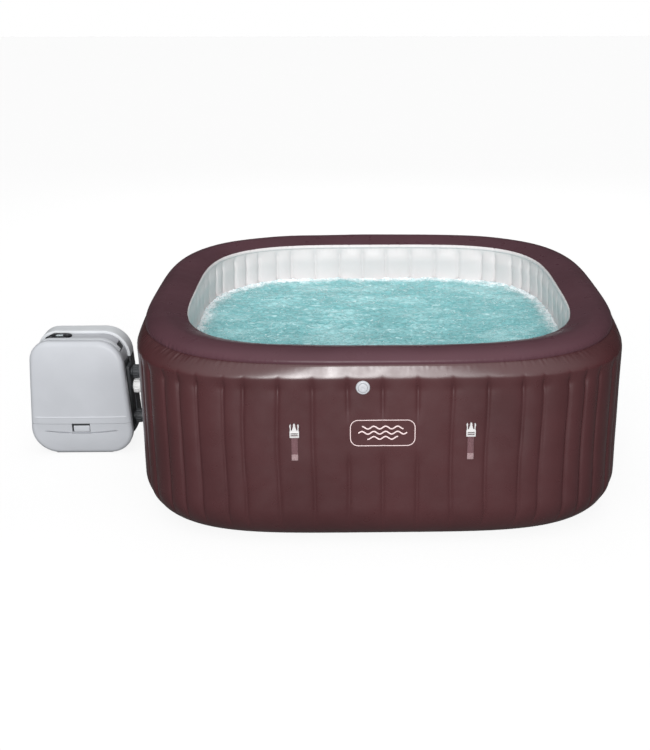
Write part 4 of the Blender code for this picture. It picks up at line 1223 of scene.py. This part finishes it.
def make_rear(paint):
    steps = [(BAND_BACK, 0.0125), (BAND_BACK, 0.0015), (BAND_BACK + 0.0006, 0.0005), (BAND_BACK + 0.0016, 0.0)]
    steps += [(y, 0.0) for y in (0.11, 0.13, 0.15, 0.170)]
    steps += [(0.170 + 0.030 * sin(a), 0.030 * (1 - cos(a)) * (0.75 + 0.25 * a)) for a in np.linspace(0.1, pi / 2, 12)]
    steps += [(0.2025, 0.055), (0.2045, 0.090), (0.205, 0.13)]
    mesh = pod_shell("rear", steps)
    mesh.shade_smooth()
    mesh.set_sharp_from_angle(angle=radians(50))
    add_piece("rear_casing", mesh, paint["rear"], replaces=("rear_shell",))
    plate = rounded_box("foot_plate", (POD_X - 0.13, -0.060, 0.0), (POD_X + 0.13, 0.175, 0.0037), 0.001, 2)
    add_piece("foot_plate", plate, paint["dark"], replaces=("base_plate",))
    gland = [(0.0055, 0.022), (0.009, 0.022), (0.0105, 0.014), (0.0098, 0.013), (0.0098, 0.010), (0.0112, 0.009),
             (0.0115, 0.006), (0.014, 0.006), (0.014, 0.0), (0.0055, 0.0)]
    add_piece("gland", turned("gland", gland, (POD_X - 0.10, 0.2075, 0.090), "Y", True, 0.0006), paint["dark"],
              replaces=("cord_gland",))


def curve_outline(points, steps=5):
    """Closed smooth curve through the points."""
    points = [Vector(point) for point in points]
    made = []
    for i in range(len(points)):
        a, b, c, d = (points[(i + k) % len(points)] for k in (-1, 0, 1, 2))
        for k in range(steps):
            t = k / steps
            made.append(0.5 * (2 * b + (c - a) * t + (2 * a - 5 * b + 4 * c - d) * t ** 2
                               + (3 * b - a - 3 * c + d) * t ** 3))
    return [(point.x, point.y) for point in made]


PANEL_TOP = 0.538
BUTTONS = {"power": (-1.497, 0.030), "bubbles": (-1.440, 0.030), "jets": (-1.426, 0.052), "heat": (-1.440, 0.074),
           "up": (-1.484, 0.074), "down": (-1.462, 0.074)}


def flat_symbol(name, outlines, place, z):
    """Thin printed shapes. Each outline is a closed list of (x, y)."""
    bm = bmesh.new()
    for outline in outlines:
        face = bm.faces.new([bm.verts.new((place[0] + x, place[1] + y, z)) for x, y in outline])
        if face.normal.z < 0:
            face.normal_flip()
    return finish_mesh(bm, name)


def ring_outline(radius, width, start=0.0, end=2 * pi, steps=16):
    outer = [(radius * cos(a), radius * sin(a)) for a in np.linspace(start, end, steps)]
    inner = [((radius - width) * cos(a), (radius - width) * sin(a)) for a in np.linspace(end, start, steps)]
    return outer + inner


def disc_outline(x, y, radius):
    return [(x + radius * cos(a), y + radius * sin(a)) for a in np.linspace(0, 2 * pi, 13)[:-1]]


def make_panel(paint):
    plan = [(-1.516, 0.014), (-1.470, 0.0115), (-1.430, 0.013), (-1.412, 0.030), (-1.4045, 0.052), (-1.414, 0.074),
            (-1.432, 0.0875), (-1.470, 0.088), (-1.496, 0.086), (-1.509, 0.045)]
    slab = prism("panel_slab", curve_outline(plan), "Z", 0.500, PANEL_TOP, 0.0012, 3)
    band = [(x, z) for x, z in pod_outline(BAND_INSET - 0.0003, 24)]
    cutters = [prism("band_shape", band, "Y", -0.2, 0.3)]
    cutters += [turned(f"hole_{name}", [(0.0, -0.006), (0.0046, -0.006), (0.0046, 0.01), (0.0, 0.01)],
                       (x, y, PANEL_TOP), "Z", soft=0, segments=32) for name, (x, y) in BUTTONS.items()]
    cutters.append(rounded_box("window_recess", (-1.478, 0.040, PANEL_TOP - 0.0015), (-1.446, 0.062, PANEL_TOP + 0.01),
                               0.0004, 1))
    mesh = carved(slab, cutters)
    mesh.name = "panel_slab"
    add_piece("panel_slab", mesh, paint["gloss_black"], replaces=("control_panel",))
    window = rounded_box("panel_window", (-1.4775, 0.0405, PANEL_TOP - 0.0012), (-1.4465, 0.0615, PANEL_TOP + 0.0002),
                         0.0003, 2)
    add_piece("panel_window", window, paint["display"], replaces=("display_window",))
    bars = [[(x, y), (x + 0.0016, y), (x + 0.0016, y + 0.011), (x, y + 0.011)] for x, y in
            ((-0.011, -0.0055), (-0.004, -0.0055), (0.004, -0.0055), (0.0095, -0.0055))]
    bars += [[(-0.011, h), (-0.0024, h), (-0.0024, h + 0.0016), (-0.011, h + 0.0016)]
             for h in (-0.0055, -0.0008, 0.0039)]
    bars += [[(0.004, h), (0.0111, h), (0.0111, h + 0.0016), (0.004, h + 0.0016)] for h in (-0.0055, 0.0039)]
    add_piece("panel_digits", flat_symbol("panel_digits", bars, (-1.462, 0.051), PANEL_TOP + 0.0003), paint["digits"])
    marks = {"power": [ring_outline(0.0026, 0.0007, pi * 0.72, pi * 2.28),
                       [(-0.0004, 0.0006), (0.0004, 0.0006), (0.0004, 0.0032), (-0.0004, 0.0032)]],
             "bubbles": [disc_outline(-0.0013, -0.0010, 0.0010), disc_outline(0.0013, -0.0004, 0.0008),
                         disc_outline(0.0, 0.0015, 0.0007)],
             "jets": [ring_outline(0.0026, 0.0007), disc_outline(0, 0, 0.0010)],
             "heat": [[(x, -0.002), (x + 0.0007, -0.002), (x + 0.0007, 0.002), (x, 0.002)]
                      for x in (-0.0022, -0.0004, 0.0014)],
             "up": [[(-0.0022, -0.0014), (0.0022, -0.0014), (0.0, 0.0020)]],
             "down": [[(-0.0022, 0.0014), (0.0, -0.0020), (0.0022, 0.0014)]]}
    for name, (x, y) in BUTTONS.items():
        body = f"button_{name}"
        key = [(0.0, -0.0011), (0.0040, -0.0011), (0.0040, 0.0006), (0.0030, 0.0010), (0.0, 0.0011)]
        add_piece(f"key_{name}", turned(f"key_{name}", key, (x, y, PANEL_TOP - 0.0001), "Z", False, 0.0003, 40),
                  paint["gloss_black"], body, (body,))
        symbol = flat_symbol(f"mark_{name}", marks[name], (x, y), PANEL_TOP + 0.0011)
        add_piece(f"mark_{name}", symbol, paint["digits"], body)


# ---- everything else keeps its CAD shape and gets its own material ----
CARRIED = {"base_sheet": "dark", "tub_floor": "white", "air_channel": "white",
           "jet_pipe": "pale", "intake_screen_1": "dark", "intake_screen_2": "dark", "filter_cartridge": "filter",
           "pump_motor": "steel", "volute": "dark", "impeller": "dark", "air_blower": "band",
           "blower_fan": "white_plastic", "heater_tube": "steel", "circuit_box": "board"}


def dress_carried(paint):
    for name, look in CARRIED.items():
        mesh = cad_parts[name].data
        mesh.materials.clear()
        mesh.materials.append(paint[look])


paints = make_materials()
make_camera()
make_studio()
make_wall(paints["plum"])
make_rim(paints["rim"])
make_web(paints["white"])
make_liner(paints["white"])
make_water()
make_froth()
make_badge(paints["print"])
make_valve(paints)
make_drain(paints)
make_straps(paints)
make_couplings(paints)
make_jets(paints)
make_front(paints)
make_band(paints)
make_side_panels(paints)
make_rail(paints)
make_rear(paints)
make_panel(paints)
dress_carried(paints)
